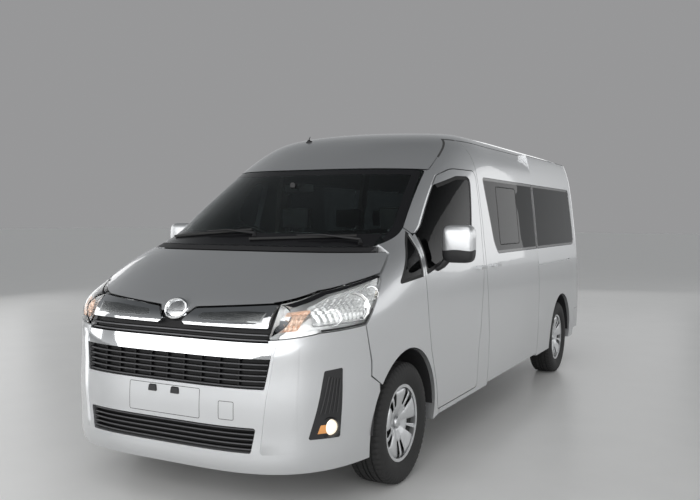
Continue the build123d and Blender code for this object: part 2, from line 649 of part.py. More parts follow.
def build_bulkhead():
    """Bulkhead under the windscreen with the cowl on top and the pins of the bonnet hinge."""
    wall = slice_of(AXLE_F - 60, AXLE_F - 20, WALL + SEAT_GAP)
    wall &= block(-1200, 1200, AXLE_F - 60, AXLE_F - 20, FLOOR_Z - FLOOR_THICK, COWL_Z - 20)
    cowl = mid_solid(2) & block(-COWL_HALF, COWL_HALF, AXLE_F - 500, AXLE_F - 50, HOOD_TOP + SEAM, COWL_Z - 5)
    wall = wall + cowl
    well = arch_well(AXLE_F, 10)
    wall = wall - well - mirrored(well) - windscreen_cut(grown(WINDSCREEN, GLASS_GAP))
    near = AXLE_F + HOOD_HINGE_Y
    for turn in (lambda shape: shape, mirrored):
        wall -= turn(rod(HOOD_BARREL + 5, (COWL_HALF, near, HOOD_HINGE_Z), (HALF, near, HOOD_HINGE_Z)))
        wall -= turn(block(COWL_HALF - 45, HALF, near + 5, near + 60, HOOD_HINGE_Z + 4, COWL_Z))
        wall += turn(block(COWL_HALF - 20, COWL_HALF, near - 25, near + 5, HOOD_HINGE_Z - 15, HOOD_TOP + 12))
        wall += turn(rod(PIN_RADIUS, (COWL_HALF - 10, near, HOOD_HINGE_Z),
                         (COWL_HALF + 45, near, HOOD_HINGE_Z)))
    save(wall, "bulkhead")


def slice_of(start, end, inset):
    """Slice of the cabin between two lengths, inset from the skin."""
    return lofted([mid_row(y, inset) for y in (start, (start + end) / 2, end)])


def build_hoops():
    """Hoops inside the joints of the panels, from the floor over the roof."""
    hoops = []
    for y, gap, drop in zip(HOOP_YS, HOOP_GAPS, BOW_DROPS):
        start, end = AXLE_F + y - HOOP_HALF, AXLE_F + y + HOOP_HALF
        ring = slice_of(start, end, WALL + gap) - slice_of(start, end, WALL + HOOP)
        hoop = ring & block(-1200, 1200, start, end, FLOOR_Z + SEAT_GAP, DITCH_Z - 40)
        hoop += Pos(0, 0, -drop) * (ring & block(-1200, 1200, start, end, DITCH_Z - 50, HEIGHT))
        hoops += hoop.solids()
    save(Compound(children=hoops), "roof_hoops")


# ---------------------------------------------------------------- front trim
def layer(solid, near, far):
    return solid(near) - solid(far)


SLAT = 10             # thickness of a slat
GRILLE_CELLS = 10    # cells between the upright ribs of the middle grille
GRILLE_CELL = 112


def slat_boxes(start, end, step):
    """Boxes that cut a grille's slats out of a layer of the nose."""
    return [block(-700, 700, FRONT - 50, AXLE_F - 500, z - SLAT / 2, z + SLAT / 2)
            for z in range(start, end + 1, step)]


def build_grille():
    """Slatted grilles with upright ribs, the bright bar and the two bright panels."""
    opening = front_cut(grown(GRILLE, -SEAT_GAP), FRONT - 50, AXLE_F - 600)
    low_opening = front_cut(grown(LOW_GRILLE, -SEAT_GAP), FRONT - 50, AXLE_F - 600)
    slat_layer = layer(nose_solid, 12, 35)
    back_layer = layer(nose_solid, 34, NOSE_WALL)
    upper = slat_layer & opening
    pieces = [upper & box for box in slat_boxes(700, 826, 28) + slat_boxes(932, 980, 26)]
    ribs = layer(nose_solid, 18, 35) & opening
    for i in range(GRILLE_CELLS - 1):
        x = GRILLE_CELL * (i - GRILLE_CELLS / 2 + 1)
        pieces.append(ribs & block(x - 4, x + 4, FRONT - 50, AXLE_F - 500, 680, 840))
    grid = (back_layer & opening & block(-700, 700, FRONT - 50, AXLE_F - 500, 680, 1110)).fuse(*pieces)
    lower = slat_layer & low_opening
    low = (low_opening & back_layer).fuse(*[lower & box for box in slat_boxes(385, 485, 25)])
    save(Compound(children=[*grid.solids(), *low.solids()]), "grilles")
    bar = layer(nose_solid, 2, 34 - SEAT_GAP) & opening & block(-700, 700, FRONT - 50, AXLE_F - 500, 842, 920)
    save(bar, "grille_bar")
    panel_face = outline((62, 1006, 10), (124, 1071, 20), (594, 1106, 8), (594, 990, 8), (90, 986, 10))
    panel = layer(nose_solid, 4, 34 - SEAT_GAP) & front_cut(grown(panel_face, -3), FRONT - 50, AXLE_F - 600)
    save(pair(panel), "grille_panels")


# ---------------------------------------------------------------- wheels
WHEEL_X_F = TRACK_FRONT / 2
WHEEL_X_R = TRACK_REAR / 2
RIM_HALF = 85        # half width between the tyre's beads
RIM_WALL = 8
FLANGE = 12          # how far the rim's flanges stand beyond the bead seat
HUB_FACE = 60        # outer end of the hub, outboard of the middle of the tyre
HUB_DEEP = 60
HUB_RADIUS = 55
STUB_RADIUS = 28
STUB_GAP = 0.06
STUB_END = HUB_FACE - 12
KING_X = WHEEL_X_F - 60
SPOKES = 5
SLOT_ANGLE = 13      # each slot's middle from the middle of the gap between two spokes
SPOKE_RISE = 5
COVER_WALL = 6
COVER = [(55, 58), (85, 60), (150, 74), (192, 84), (RIM_RADIUS - 3, 80)]    # radius, height of the face


def cover_ring(rise):
    """The wheel cover's dish, its face raised by rise."""
    top = [(r, h + rise) for r, h in COVER]
    low = [(r, h - COVER_WALL) for r, h in reversed(COVER)]
    return revolve(Plane.XZ * make_face(Polyline(*top, *low, close=True)), Axis.Z)


def wedge(inner, outer, inner_half, outer_half):
    """Prism over a radial strip that widens outwards."""
    face = outline((inner, -inner_half, 0), (outer, -outer_half, 0), (outer, outer_half, 0),
                   (inner, inner_half, 0))
    return extrude(face, 120)


def build_rim():
    """Steel rim with a five-spoke cover: two slots in each gap between the spokes."""
    out, inside = RIM_RADIUS - SEAT_GAP, RIM_RADIUS - RIM_WALL
    edge, lip = RIM_HALF + SEAT_GAP, RIM_HALF + SEAT_GAP + 6
    barrel = Polyline((inside, -lip), (RIM_RADIUS + FLANGE, -lip), (RIM_RADIUS + FLANGE, -edge), (out, -edge),
                      (out, edge), (RIM_RADIUS + FLANGE, edge), (RIM_RADIUS + FLANGE, lip), (inside, lip),
                      close=True)
    rim = revolve(Plane.XZ * make_face(barrel), Axis.Z)
    spokes = cover_ring(SPOKE_RISE)
    cover = cover_ring(0)
    slot = extrude(outline((158, -13, 5), (190, -17, 5), (190, 17, 5), (158, 13, 5)), 120)
    for i in range(SPOKES):
        turn = Rot(0, 0, 360 / SPOKES * i)
        cover += turn * (spokes & wedge(52, RIM_RADIUS, 24, 52))
        for side in (-1, 1):
            cover -= turn * Rot(0, 0, 180 / SPOKES + side * SLOT_ANGLE) * slot
    cap = Pos(0, 0, HUB_FACE) * Cylinder(HUB_RADIUS + 2, 12, align=(Align.CENTER, Align.CENTER, Align.MIN))
    cap = fillet(cap.edges().group_by(Axis.Z)[-1], 8)
    hub = Pos(0, 0, HUB_FACE - HUB_DEEP / 2) * Cylinder(HUB_RADIUS, HUB_DEEP)
    hub -= Pos(0, 0, HUB_FACE - HUB_DEEP - 1) * Cylinder(
        STUB_RADIUS + STUB_GAP, HUB_DEEP - 10, align=(Align.CENTER, Align.CENTER, Align.MIN))
    return rim + cover + cap + hub


def build_tyre():
    half = TYRE_WIDTH / 2
    side = [(RIM_RADIUS, RIM_HALF), (RIM_RADIUS + FLANGE + 2, RIM_HALF), (RIM_RADIUS + 34, half - 5),
            (TYRE_RADIUS - 62, half), (TYRE_RADIUS - 22, half - 10), (TYRE_RADIUS - 4, half - 26),
            (TYRE_RADIUS, half - 44)]
    section = make_face(Polyline(*side, *[(r, -x) for r, x in reversed(side)], close=True))
    return revolve(Plane.XZ * section, Axis.Z)


def build_wheels():
    rim, tyre = build_rim(), build_tyre()
    for name, side, x, y in (("front_left", 1, WHEEL_X_F, AXLE_F), ("front_right", -1, WHEEL_X_F, AXLE_F),
                             ("rear_left", 1, WHEEL_X_R, AXLE_R), ("rear_right", -1, WHEEL_X_R, AXLE_R)):
        place = Pos(side * x, y, TYRE_RADIUS) * Rot(0, 90 * side, 0)
        save(place * tyre, f"tyre_{name}")
        save(place * rim, f"rim_{name}")


# ---------------------------------------------------------------- axles and suspension
def build_axles():
    end = WHEEL_X_R + STUB_END
    axle = rod(STUB_RADIUS, (-end, AXLE_R, TYRE_RADIUS), (end, AXLE_R, TYRE_RADIUS))
    axle += rod(34, (-WHEEL_X_R + 90, AXLE_R, TYRE_RADIUS), (WHEEL_X_R - 90, AXLE_R, TYRE_RADIUS))
    axle += Pos(0, AXLE_R, TYRE_RADIUS) * Sphere(118)
    save(axle, "rear_axle")
    springs = []
    for side in (-1, 1):
        x = side * (RAIL_X + 90)
        base = TYRE_RADIUS - 34 - SEAT_GAP
        leaf = block(x - 35, x + 35, AXLE_R - 100, AXLE_R + 100, base - 30, base)
        for way in (-1, 1):
            tip = AXLE_R + way * 640
            root = AXLE_R + way * 60
            bar = Polyline((root, base - 30), (tip, base + 60), (tip, base + 76), (root, base - 12),
                           close=True)
            side = Plane(origin=(x - 35, 0, 0), x_dir=(0, 1, 0), z_dir=(1, 0, 0))
            leaf += extrude(side * make_face(bar), 70)
            top = FLOOR_Z - FLOOR_THICK - SEAT_GAP
            leaf += block(x - 35, x + 35, tip - way * 20 - 20, tip - way * 20 + 20, base + 50, top)
        springs.append(leaf)
    save(Compound(children=[solid for leaf in springs for solid in leaf.solids()]), "leaf_springs")
    for side, name in ((1, "left"), (-1, "right")):
        end = side * (WHEEL_X_F + STUB_END)
        x = side * KING_X
        knuckle = rod(STUB_RADIUS, (x, AXLE_F, TYRE_RADIUS), (end, AXLE_F, TYRE_RADIUS))
        knuckle += rod(30, (x, AXLE_F, TYRE_RADIUS - KING_TALL), (x, AXLE_F, TYRE_RADIUS + KING_TALL))
        save(knuckle, f"knuckle_{name}")
    save(front_suspension(), "front_suspension")


KING_TALL = 110      # kingpin above and below the stub axle
ARM_TALL = 30
CROSS_HALF = 60


def front_suspension():
    """Cross-member with lower arms, upper arms on the rails and struts to the wheel wells."""
    under = FLOOR_Z - FLOOR_THICK - SEAT_GAP - RAIL_TALL - SEAT_GAP
    low = TYRE_RADIUS - KING_TALL - SEAT_GAP
    high = TYRE_RADIUS + KING_TALL + SEAT_GAP
    member = block(-RAIL_X, RAIL_X, AXLE_F - CROSS_HALF, AXLE_F + CROSS_HALF, low - ARM_TALL, under)
    loose = []
    for side in (-1, 1):
        king = side * (KING_X + 30)
        inner = side * (RAIL_X - 20)
        member += block(min(inner, king), max(inner, king), AXLE_F - 30, AXLE_F + 30, low - ARM_TALL, low)
        inner = side * (RAIL_X + RAIL_WIDTH / 2 + SEAT_GAP)
        arm = block(min(inner, king), max(inner, king), AXLE_F - 20, AXLE_F + 20, high, high + ARM_TALL)
        strut = rod(24, (side * 655, AXLE_F, low + SEAT_GAP), (side * 620, AXLE_F, 784))
        loose += [strut, arm - rod(26, (side * 655, AXLE_F, low), (side * 620, AXLE_F, 784))]
    return Compound(children=[solid for piece in [member] + loose for solid in piece.solids()])


# ---------------------------------------------------------------- engine and cabin
DASH_HALF = 750
STEER_X = -400
STEER_Y = 420
STEER_Z = 1350
STEER_AXIS = (0, 0.766, 0.643)


def build_cabin():
    rail = RAIL_X - RAIL_WIDTH / 2 - SEAT_GAP
    engine = block(-300, 300, AXLE_F - 540, AXLE_F - 70, 400, 1000)
    engine += block(-rail, rail, AXLE_F - 360, AXLE_F - 260, 410, 460)
    save(engine, "engine")
    face = outline((-20 + SEAT_GAP, 900, 0), (-20 + SEAT_GAP, 1366, 0), (60, 1398, 0), (200, 1425, 60),
                   (290, 1405, 25), (320, 1330, 40), (285, 1180, 60), (240, 1000, 0), (200, 900, 20))
    dash = side_cut(face, -DASH_HALF, DASH_HALF)
    hood = block(STEER_X - 170, STEER_X + 170, AXLE_F + 110, AXLE_F + 265, 1340, 1458)
    dash += fillet(hood.edges().group_by(Axis.Z)[-1] + hood.edges().filter_by(Axis.Z), 30)
    lie = Plane(origin=(STEER_X, AXLE_F + STEER_Y, STEER_Z), z_dir=STEER_AXIS)
    save(dash - lie * Pos(0, 0, -150) * Cylinder(25 + SEAT_GAP, 204), "dashboard")
    seats, frames = [], []
    for x in (-420, 420):
        seats += seat(x, 470, AXLE_F + 560)
        frames.append(block(x - 220, x + 220, AXLE_F + 600, AXLE_F + 1000, FLOOR_Z + SEAT_GAP,
                            820 - SEAT_GAP))
    save(Compound(children=seats), "front_seats")
    rear = []
    for row in range(4):
        y = AXLE_F + 1700 + 760 * row
        for x, leg in ((-560, -425), (80, 80), (560, 425)):
            rear += seat(x, 430, y)
            frames.append(block(leg - 75, leg + 75, y + 60, y + 400, FLOOR_Z + SEAT_GAP, 820 - SEAT_GAP))
    save(Compound(children=rear), "rear_seats")
    save(Compound(children=[solid for f in frames for solid in f.solids()]), "seat_frames")
    wheel = lie * Torus(180, 14) + lie * Box(350, 40, 14) + lie * Pos(0, 0, -125) * Cylinder(25, 250)
    save(wheel, "steering_wheel")


def seat(x, width, y):
    """Cushion, back and head rest as one soft solid."""
    cushion = block(x - width / 2, x + width / 2, y, y + 480, 820, 950)
    back = block(x - width / 2, x + width / 2, y + 400, y + 510, 820, 1450)
    head = block(x - 120, x + 120, y + 420, y + 500, 1450, 1620)
    return (cushion + back + head).solids()


# ---------------------------------------------------------------- outside fittings
def build_fittings():
    shell = block(990, 1195, AXLE_F + 430, AXLE_F + 560, 1270, 1510)
    shell = fillet(shell.edges(), 30)
    arm = block(975, 1010, AXLE_F + 440, AXLE_F + 520, 1200, 1300)
    arm += block(900, 1010, AXLE_F + 440, AXLE_F + 520, 1200, 1228)
    for side, turn in (("left", lambda shape: shape), ("right", mirrored)):
        body = mid_solid(-SEAT_GAP)
        save(turn((shell + arm) - body), f"mirror_{side}")
    flaps = []
    for y in (AXLE_F, AXLE_R):
        flap = block(700, HALF - WALL - 25, y + ARCH_RADIUS - 6.5, y + ARCH_RADIUS - 1, 215,
                     ARCH_Z + 20 - SEAT_GAP)
        flaps += pair(flap).solids()
    save(Compound(children=flaps), "mud_flaps")
    under = FLOOR_Z - FLOOR_THICK - SEAT_GAP - RAIL_TALL - SEAT_GAP
    drive = block(-170, 170, AXLE_F + 70, AXLE_F + 700, 240, under + 10)
    drive += rod(35, (0, AXLE_F + 690, 330), (0, AXLE_R - 139, TYRE_RADIUS))
    save(drive, "gearbox")
    save(block(80, RAIL_X + 20, AXLE_F + 1600, AXLE_F + 2500, 225, under), "fuel_tank")


os.makedirs("parts", exist_ok=True)
build_doors()
build_sides()
build_rear()
build_roof()
build_nose()
build_floor()
build_wells()
build_bulkhead()
build_hoops()
build_grille()
build_wheels()
build_axles()
build_cabin()
build_fittings()
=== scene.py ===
import bpy, bmesh, math
from mathutils import Matrix, Vector
from mathutils.bvhtree import BVHTree


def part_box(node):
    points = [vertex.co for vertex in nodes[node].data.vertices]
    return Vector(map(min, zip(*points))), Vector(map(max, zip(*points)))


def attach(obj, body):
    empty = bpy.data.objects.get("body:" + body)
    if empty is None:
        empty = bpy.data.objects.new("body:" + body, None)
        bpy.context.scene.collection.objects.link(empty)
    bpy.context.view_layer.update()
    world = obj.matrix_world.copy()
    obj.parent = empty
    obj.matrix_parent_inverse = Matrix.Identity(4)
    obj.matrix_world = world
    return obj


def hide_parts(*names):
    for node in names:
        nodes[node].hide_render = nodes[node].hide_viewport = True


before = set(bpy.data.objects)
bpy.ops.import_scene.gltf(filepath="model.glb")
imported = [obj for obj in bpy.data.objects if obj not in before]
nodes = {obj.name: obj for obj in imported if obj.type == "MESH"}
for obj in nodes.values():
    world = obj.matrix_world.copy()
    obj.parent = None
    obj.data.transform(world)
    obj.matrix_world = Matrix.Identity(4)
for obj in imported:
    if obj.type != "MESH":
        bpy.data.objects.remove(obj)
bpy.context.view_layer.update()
AF, AR = -1.9575, 1.9025          # front and rear axle, along Y
SIDES = (("left", 1), ("right", -1))

EYE = (2.778, -6.1385, 1.544)
EYE_TURN = (90 - 2.27, -0.21, 27.74)      # pitch from straight down, roll and heading, in degrees
SENSOR = 36
FOCAL = 787.8 / 700                       # focal length over the picture's width
FLOOR = 90                                # half the floor's width
SHARP = 40                                # edges over this angle, in degrees, stay sharp
GLASS_TOP, GLASS_LOW = 1.860, 1.278       # side glass behind the front doors
LENS_WALL, HOUSING_DEPTH = 0.003, 0.034
TREAD_STEPS, COVER_STEPS = 240, 200       # segments round a tyre and a wheel cover
SPOKES, SPOKE_RISE = 5, 0.007
SLOTS = ((0.265, 0.455), (0.545, 0.735))  # shares of the turn from one spoke to the next
SLOT_INNER, SLOT_OUTER = 0.105, 0.199
CAP_OUT = 0.063
SEAT_ROWS, ROW_PITCH, FIRST_ROW = 4, 0.760, 1.700
REAR_SEATS_X = (-0.560, 0.080, 0.560)
PULL, PIPE = 0.035, 0.0035                # a pad's drawn-in corners, and its piping's radius
ENGRAVED = dict(slot="body_paint", lift=0.0003, sink=0.001)


# ---------------------------------------------------------------- materials
def material(name, color, rough=0.5, metal=0.0, coat=0.0, coat_rough=0.05, ior=1.45, transmission=0.0,
             sheen=0.0, vary=0.06, rough_vary=0.06, scale=20.0, bump=0.0, bump_scale=400.0, emit=None,
             emit_strength=0.0, specular=0.5):
    """Principled material whose colour and roughness vary with a noise, with a fine bump."""
    m = bpy.data.materials.new(name)
    m.use_nodes = True
    nt = m.node_tree
    p = nt.nodes["Principled BSDF"]
    p.inputs["Metallic"].default_value = metal
    p.inputs["IOR"].default_value = ior
    p.inputs["Coat Weight"].default_value = coat
    p.inputs["Coat Roughness"].default_value = coat_rough
    p.inputs["Transmission Weight"].default_value = transmission
    p.inputs["Sheen Weight"].default_value = sheen
    p.inputs["Specular IOR Level"].default_value = specular
    if emit:
        p.inputs["Emission Color"].default_value = (*emit, 1)
        p.inputs["Emission Strength"].default_value = emit_strength
    co = nt.nodes.new("ShaderNodeTexCoord")
    no = nt.nodes.new("ShaderNodeTexNoise")
    no.inputs["Scale"].default_value = scale
    no.inputs["Detail"].default_value = 4
    nt.links.new(co.outputs["Object"], no.inputs["Vector"])
    mix = nt.nodes.new("ShaderNodeMix")
    mix.data_type = "RGBA"
    low = [max(0.0, c * (1 - vary)) for c in color]
    high = [min(1.0, c * (1 + vary)) for c in color]
    mix.inputs[6].default_value = (*low, 1)
    mix.inputs[7].default_value = (*high, 1)
    nt.links.new(no.outputs["Fac"], mix.inputs[0])
    nt.links.new(mix.outputs[2], p.inputs["Base Color"])
    rng = nt.nodes.new("ShaderNodeMapRange")
    rng.inputs["To Min"].default_value = max(0.0, rough - rough_vary)
    rng.inputs["To Max"].default_value = min(1.0, rough + rough_vary)
    nt.links.new(no.outputs["Fac"], rng.inputs["Value"])
    nt.links.new(rng.outputs["Result"], p.inputs["Roughness"])
    if bump:
        fine = nt.nodes.new("ShaderNodeTexNoise")
        fine.inputs["Scale"].default_value = bump_scale
        fine.inputs["Detail"].default_value = 2
        nt.links.new(co.outputs["Object"], fine.inputs["Vector"])
        bp = nt.nodes.new("ShaderNodeBump")
        bp.inputs["Strength"].default_value = bump
        bp.inputs["Distance"].default_value = 0.001
        nt.links.new(fine.outputs["Fac"], bp.inputs["Height"])
        nt.links.new(bp.outputs["Normal"], p.inputs["Normal"])
    return m


PAINT = material("silver_paint", (0.60, 0.61, 0.62), rough=0.32, metal=0.75, coat=1.0, coat_rough=0.03,
                 vary=0.03, rough_vary=0.03, scale=900, bump=0.02, bump_scale=2500)
CHROME = material("bright_chrome", (0.86, 0.87, 0.88), rough=0.06, metal=1.0, vary=0.02, rough_vary=0.02)
BLACK_GLOSS = material("black_gloss", (0.008, 0.008, 0.009), rough=0.22, coat=0.3, rough_vary=0.04)
GRILLE = material("grille_black", (0.006, 0.006, 0.0065), rough=0.42, rough_vary=0.05, specular=0.25,
                  bump=0.1, bump_scale=700)
SCREEN = material("windscreen_glass", (0.46, 0.52, 0.51), rough=0.0, rough_vary=0.0, transmission=1.0,
                  vary=0.01)
BLACK = material("black_plastic", (0.02, 0.02, 0.021), rough=0.5, bump=0.25, bump_scale=900)
CHASSIS = material("chassis_black", (0.022, 0.022, 0.022), rough=0.55, bump=0.2, bump_scale=120, vary=0.3)
CAST = material("cast_metal", (0.22, 0.22, 0.22), rough=0.5, metal=0.8, bump=0.3, bump_scale=200,
                vary=0.2)
CABIN = material("cabin_plastic", (0.035, 0.035, 0.037), rough=0.6, bump=0.3, bump_scale=700)
LINER = material("headlining", (0.42, 0.41, 0.39), rough=0.9, bump=0.3, bump_scale=500)
CARPET = material("cabin_floor", (0.045, 0.045, 0.047), rough=0.9, bump=0.6, bump_scale=800, vary=0.2)
CLEAR = material("clear_glass", (0.80, 0.86, 0.85), rough=0.0, rough_vary=0.0, transmission=1.0,
                 vary=0.01)
DARK = material("privacy_glass", (0.012, 0.014, 0.015), rough=0.0, rough_vary=0.0, transmission=0.9,
                vary=0.02, ior=1.16)
RED = material("red_lens", (0.42, 0.01, 0.012), rough=0.08, rough_vary=0.03, coat=1.0, transmission=0.25)
RUBBER = material("rubber", (0.018, 0.018, 0.018), rough=0.7, bump=0.35, bump_scale=600, vary=0.15)
WHEEL = material("wheel_silver", (0.62, 0.63, 0.64), rough=0.3, metal=0.8, coat=0.6, scale=60)
CLOTH = material("seat_cloth", (0.12, 0.12, 0.125), rough=0.95, sheen=0.4, bump=0.9, bump_scale=1500,
                 vary=0.2, scale=300)
LAMP_SILVER = material("lamp_silver", (0.90, 0.90, 0.90), rough=0.25, metal=0.55, bump=1.0, bump_scale=90)
THIN = material("lamp_cover", (0.97, 0.98, 0.98), rough=0.0, rough_vary=0.0, transmission=1.0, ior=1.12,
                vary=0.01)
LAMP_CHROME = material("lamp_chrome", (0.88, 0.88, 0.88), rough=0.05, metal=1.0)
# Lighter than the grille's black: painted highlights along the slat fronts.
SLAT_PAINTED_HIGHLIGHT = material("slat_painted_highlight", (0.10, 0.10, 0.105), rough=0.25, metal=0.3)
BULB = material("bulb_glass", (0.95, 0.95, 0.92), rough=0.05, emit=(1.0, 0.95, 0.85), emit_strength=0.6)
FOG_GLOW = material("fog_glow", (0.95, 0.90, 0.80), rough=0.1, emit=(1.0, 0.84, 0.62), emit_strength=0.55)
# Amber glow painted on the bezel floor beside the fog lamp; the sheet is not a lamp of its own.
PAINTED_AMBER_GLOW = material("fog_painted_glow", (0.45, 0.22, 0.08), rough=0.3, emit=(1.0, 0.42, 0.12),
                      emit_strength=0.30)
SIGNAL_SILVER = material("signal_silver", (0.92, 0.66, 0.52), rough=0.22, metal=0.5, bump=0.6,
                         bump_scale=90)
SATIN = material("satin_chrome", (0.62, 0.63, 0.64), rough=0.28, metal=1.0)
GROOVE = material("panel_gap", (0.05, 0.05, 0.05), rough=0.8)
MESH_CHROME = material("mesh_chrome", (0.34, 0.35, 0.35), rough=0.22, metal=1.0, bump=1.0, bump_scale=260)
MIRROR = material("mirror_glass", (0.85, 0.86, 0.87), rough=0.02, metal=1.0)
BRAKE = material("brake_iron", (0.25, 0.25, 0.25), rough=0.35, metal=0.9, bump=0.2, bump_scale=300)
PIPING = material("seat_piping", (0.06, 0.06, 0.062), rough=0.8)


def paint(material_, *names):
    """Give CAD nodes a material."""
    for name in names:
        for slot in nodes[name].material_slots:
            slot.material = material_


paint(PAINT, "roof", "side_frames", "fenders", "sliding_doors", "rear_quarters", "rear_bumper",
      "front_bumper", "front_door_left", "front_door_right", "hood", "tailgate")
paint(CLEAR, "headlamps")
paint(SCREEN, "windscreen")
paint(DARK, "side_glass", "door_glass_left", "door_glass_right", "rear_glass")
paint(RED, "tail_lamps")
paint(BLACK, "fog_bezels", "wheel_wells", "mud_flaps", "mirror_left", "mirror_right", "steering_wheel",
      "bulkhead")
paint(GRILLE, "grilles")
paint(CHROME, "grille_bar", "grille_panels")
paint(CHASSIS, "frame_rails", "rear_axle", "leaf_springs", "front_suspension", "fuel_tank",
      "knuckle_left", "knuckle_right", "seat_frames")
paint(CARPET, "floor")
paint(CAST, "engine", "gearbox")
paint(LINER, "roof_hoops")
paint(CABIN, "dashboard")
paint(CLOTH, "front_seats", "rear_seats")
for end in ("front_left", "front_right", "rear_left", "rear_right"):
    paint(RUBBER, f"tyre_{end}")
    paint(WHEEL, f"rim_{end}")

# ---------------------------------------------------------------- camera, floor and light
cam = bpy.data.objects.new("camera", bpy.data.cameras.new("camera"))
bpy.context.scene.collection.objects.link(cam)
cam.location = EYE
cam.rotation_euler = [math.radians(a) for a in EYE_TURN]
cam.data.sensor_width = SENSOR
cam.data.lens = FOCAL * SENSOR
bpy.context.scene.camera = cam

floor = bpy.data.objects.new("floor_plane", bpy.data.meshes.new("floor_plane"))
floor.data.from_pydata([(x * FLOOR, y * FLOOR, 0) for x, y in ((-1, -1), (1, -1), (1, 1), (-1, 1))], [],
                       [(0, 1, 2, 3)])
bpy.context.scene.collection.objects.link(floor)
floor.data.materials.append(material("pale_floor", (0.72, 0.72, 0.71), rough=0.35, rough_vary=0.05,
                                     scale=2))

world = bpy.data.worlds.new("studio")
bpy.context.scene.world = world
world.use_nodes = True
sky = world.node_tree
place = sky.nodes.new("ShaderNodeTexCoord")
split = sky.nodes.new("ShaderNodeSeparateXYZ")
ramp = sky.nodes.new("ShaderNodeValToRGB")
ramp.color_ramp.elements[0].position = 0.50
ramp.color_ramp.elements[0].color = (0.62, 0.63, 0.64, 1)
ramp.color_ramp.elements[1].position = 0.86
ramp.color_ramp.elements[1].color = (0.10, 0.105, 0.11, 1)
lift = sky.nodes.new("ShaderNodeMapRange")
lift.inputs["From Min"].default_value = -1
sky.links.new(place.outputs["Generated"], split.inputs[0])
sky.links.new(split.outputs["Z"], lift.inputs["Value"])
sky.links.new(lift.outputs["Result"], ramp.inputs[0])
sky.links.new(ramp.outputs[0], sky.nodes["Background"].inputs[0])
sky.nodes["Background"].inputs[1].default_value = 0.85
seen = sky.nodes.new("ShaderNodeBackground")
seen.inputs[0].default_value = (0.31, 0.31, 0.315, 1)
path = sky.nodes.new("ShaderNodeLightPath")
blend = sky.nodes.new("ShaderNodeMixShader")
sky.links.new(path.outputs["Is Camera Ray"], blend.inputs[0])
sky.links.new(sky.nodes["Background"].outputs[0], blend.inputs[1])
sky.links.new(seen.outputs[0], blend.inputs[2])
sky.links.new(blend.outputs[0], sky.nodes["World Output"].inputs[0])


def area(name, place, target, size, power):
    """Rectangular light that faces a target."""
    light = bpy.data.lights.new(name, "AREA")
    light.shape = "RECTANGLE"
    light.size, light.size_y = size
    light.energy = power
    o = bpy.data.objects.new(name, light)
    o.location = place
    o.rotation_euler = (Vector(target) - Vector(place)).to_track_quat("-Z", "Y").to_euler()
    bpy.context.scene.collection.objects.link(o)


area("front_soft", (0, -10.0, 3.2), (0, -2.5, 0.8), (20, 5), 640)
area("left_soft", (9.5, -2.0, 2.8), (0, 0, 1.0), (14, 3), 170)
area("side_card", (9.5, 11.0, 3.2), (1.0, 0, 1.0), (12, 4), 130)
area("right_soft", (-9.5, -1.0, 3.0), (0, 0, 1.0), (12, 4), 170)
area("back_soft", (-2.5, 11.0, 2.4), (0, 2.0, 1.0), (8, 2.4), 45)
sun = bpy.data.objects.new("sun_soft", bpy.data.lights.new("sun_soft", "SUN"))
sun.data.energy = 0.9
sun.data.angle = math.radians(60)
sun.rotation_euler = (math.radians(38), math.radians(14), 0)
bpy.context.scene.collection.objects.link(sun)
bpy.context.scene.view_settings.view_transform = "Standard"

# ---------------------------------------------------------------- helpers that build on the CAD's surfaces
def tree(*names):
    """Ray-casting tree over the meshes of some CAD nodes."""
    verts, faces = [], []
    for name in names:
        mesh, base = nodes[name].data, len(verts)
        verts += [v.co.copy() for v in mesh.vertices]
        faces += [[base + i for i in p.vertices] for p in mesh.polygons]
    return BVHTree.FromPolygons(verts, faces)


VIEWS = {
    "left": (lambda u, v: Vector((1.4, AF + u, v)), Vector((-1, 0, 0))),
    "right": (lambda u, v: Vector((-1.4, AF + u, v)), Vector((1, 0, 0))),
    "front": (lambda u, v: Vector((u, -3.4, v)), Vector((0, 1, 0))),
    "rear": (lambda u, v: Vector((u, 3.4, v)), Vector((0, -1, 0))),
    "top": (lambda u, v: Vector((u, AF + v, 3.0)), Vector((0, 0, -1))),
}


def hit(surface, view, u, v):
    """Point and outward normal where a straight look from one side meets the surface, or None."""
    start, way = VIEWS[view][0](u, v), VIEWS[view][1]
    place, normal, _, _ = surface.ray_cast(start, way)
    if place is None:
        return None
    return place, (normal if normal.dot(way) < 0 else -normal)


def new_piece(name, verts, faces, finish, body, index=None):
    """Smooth mesh piece that rides a body, split at its sharp edges; index picks the finish of each face."""
    mesh = bpy.data.meshes.new(name)
    mesh.from_pydata([tuple(v) for v in verts], [], faces)
    finishes = finish if isinstance(finish, (list, tuple)) else [finish]
    for m in finishes:
        mesh.materials.append(m)
    if index:
        mesh.polygons.foreach_set("material_index", index)
    bm = bmesh.new()
    bm.from_mesh(mesh)
    bmesh.ops.recalc_face_normals(bm, faces=bm.faces)
    bm.to_mesh(mesh)
    bm.free()
    for p in mesh.polygons:
        p.use_smooth = True
    piece = bpy.data.objects.new(name, mesh)
    bpy.context.scene.collection.objects.link(piece)
    mod = piece.modifiers.new("edges", "EDGE_SPLIT")
    mod.split_angle = math.radians(SHARP)
    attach(piece, body)
    return piece


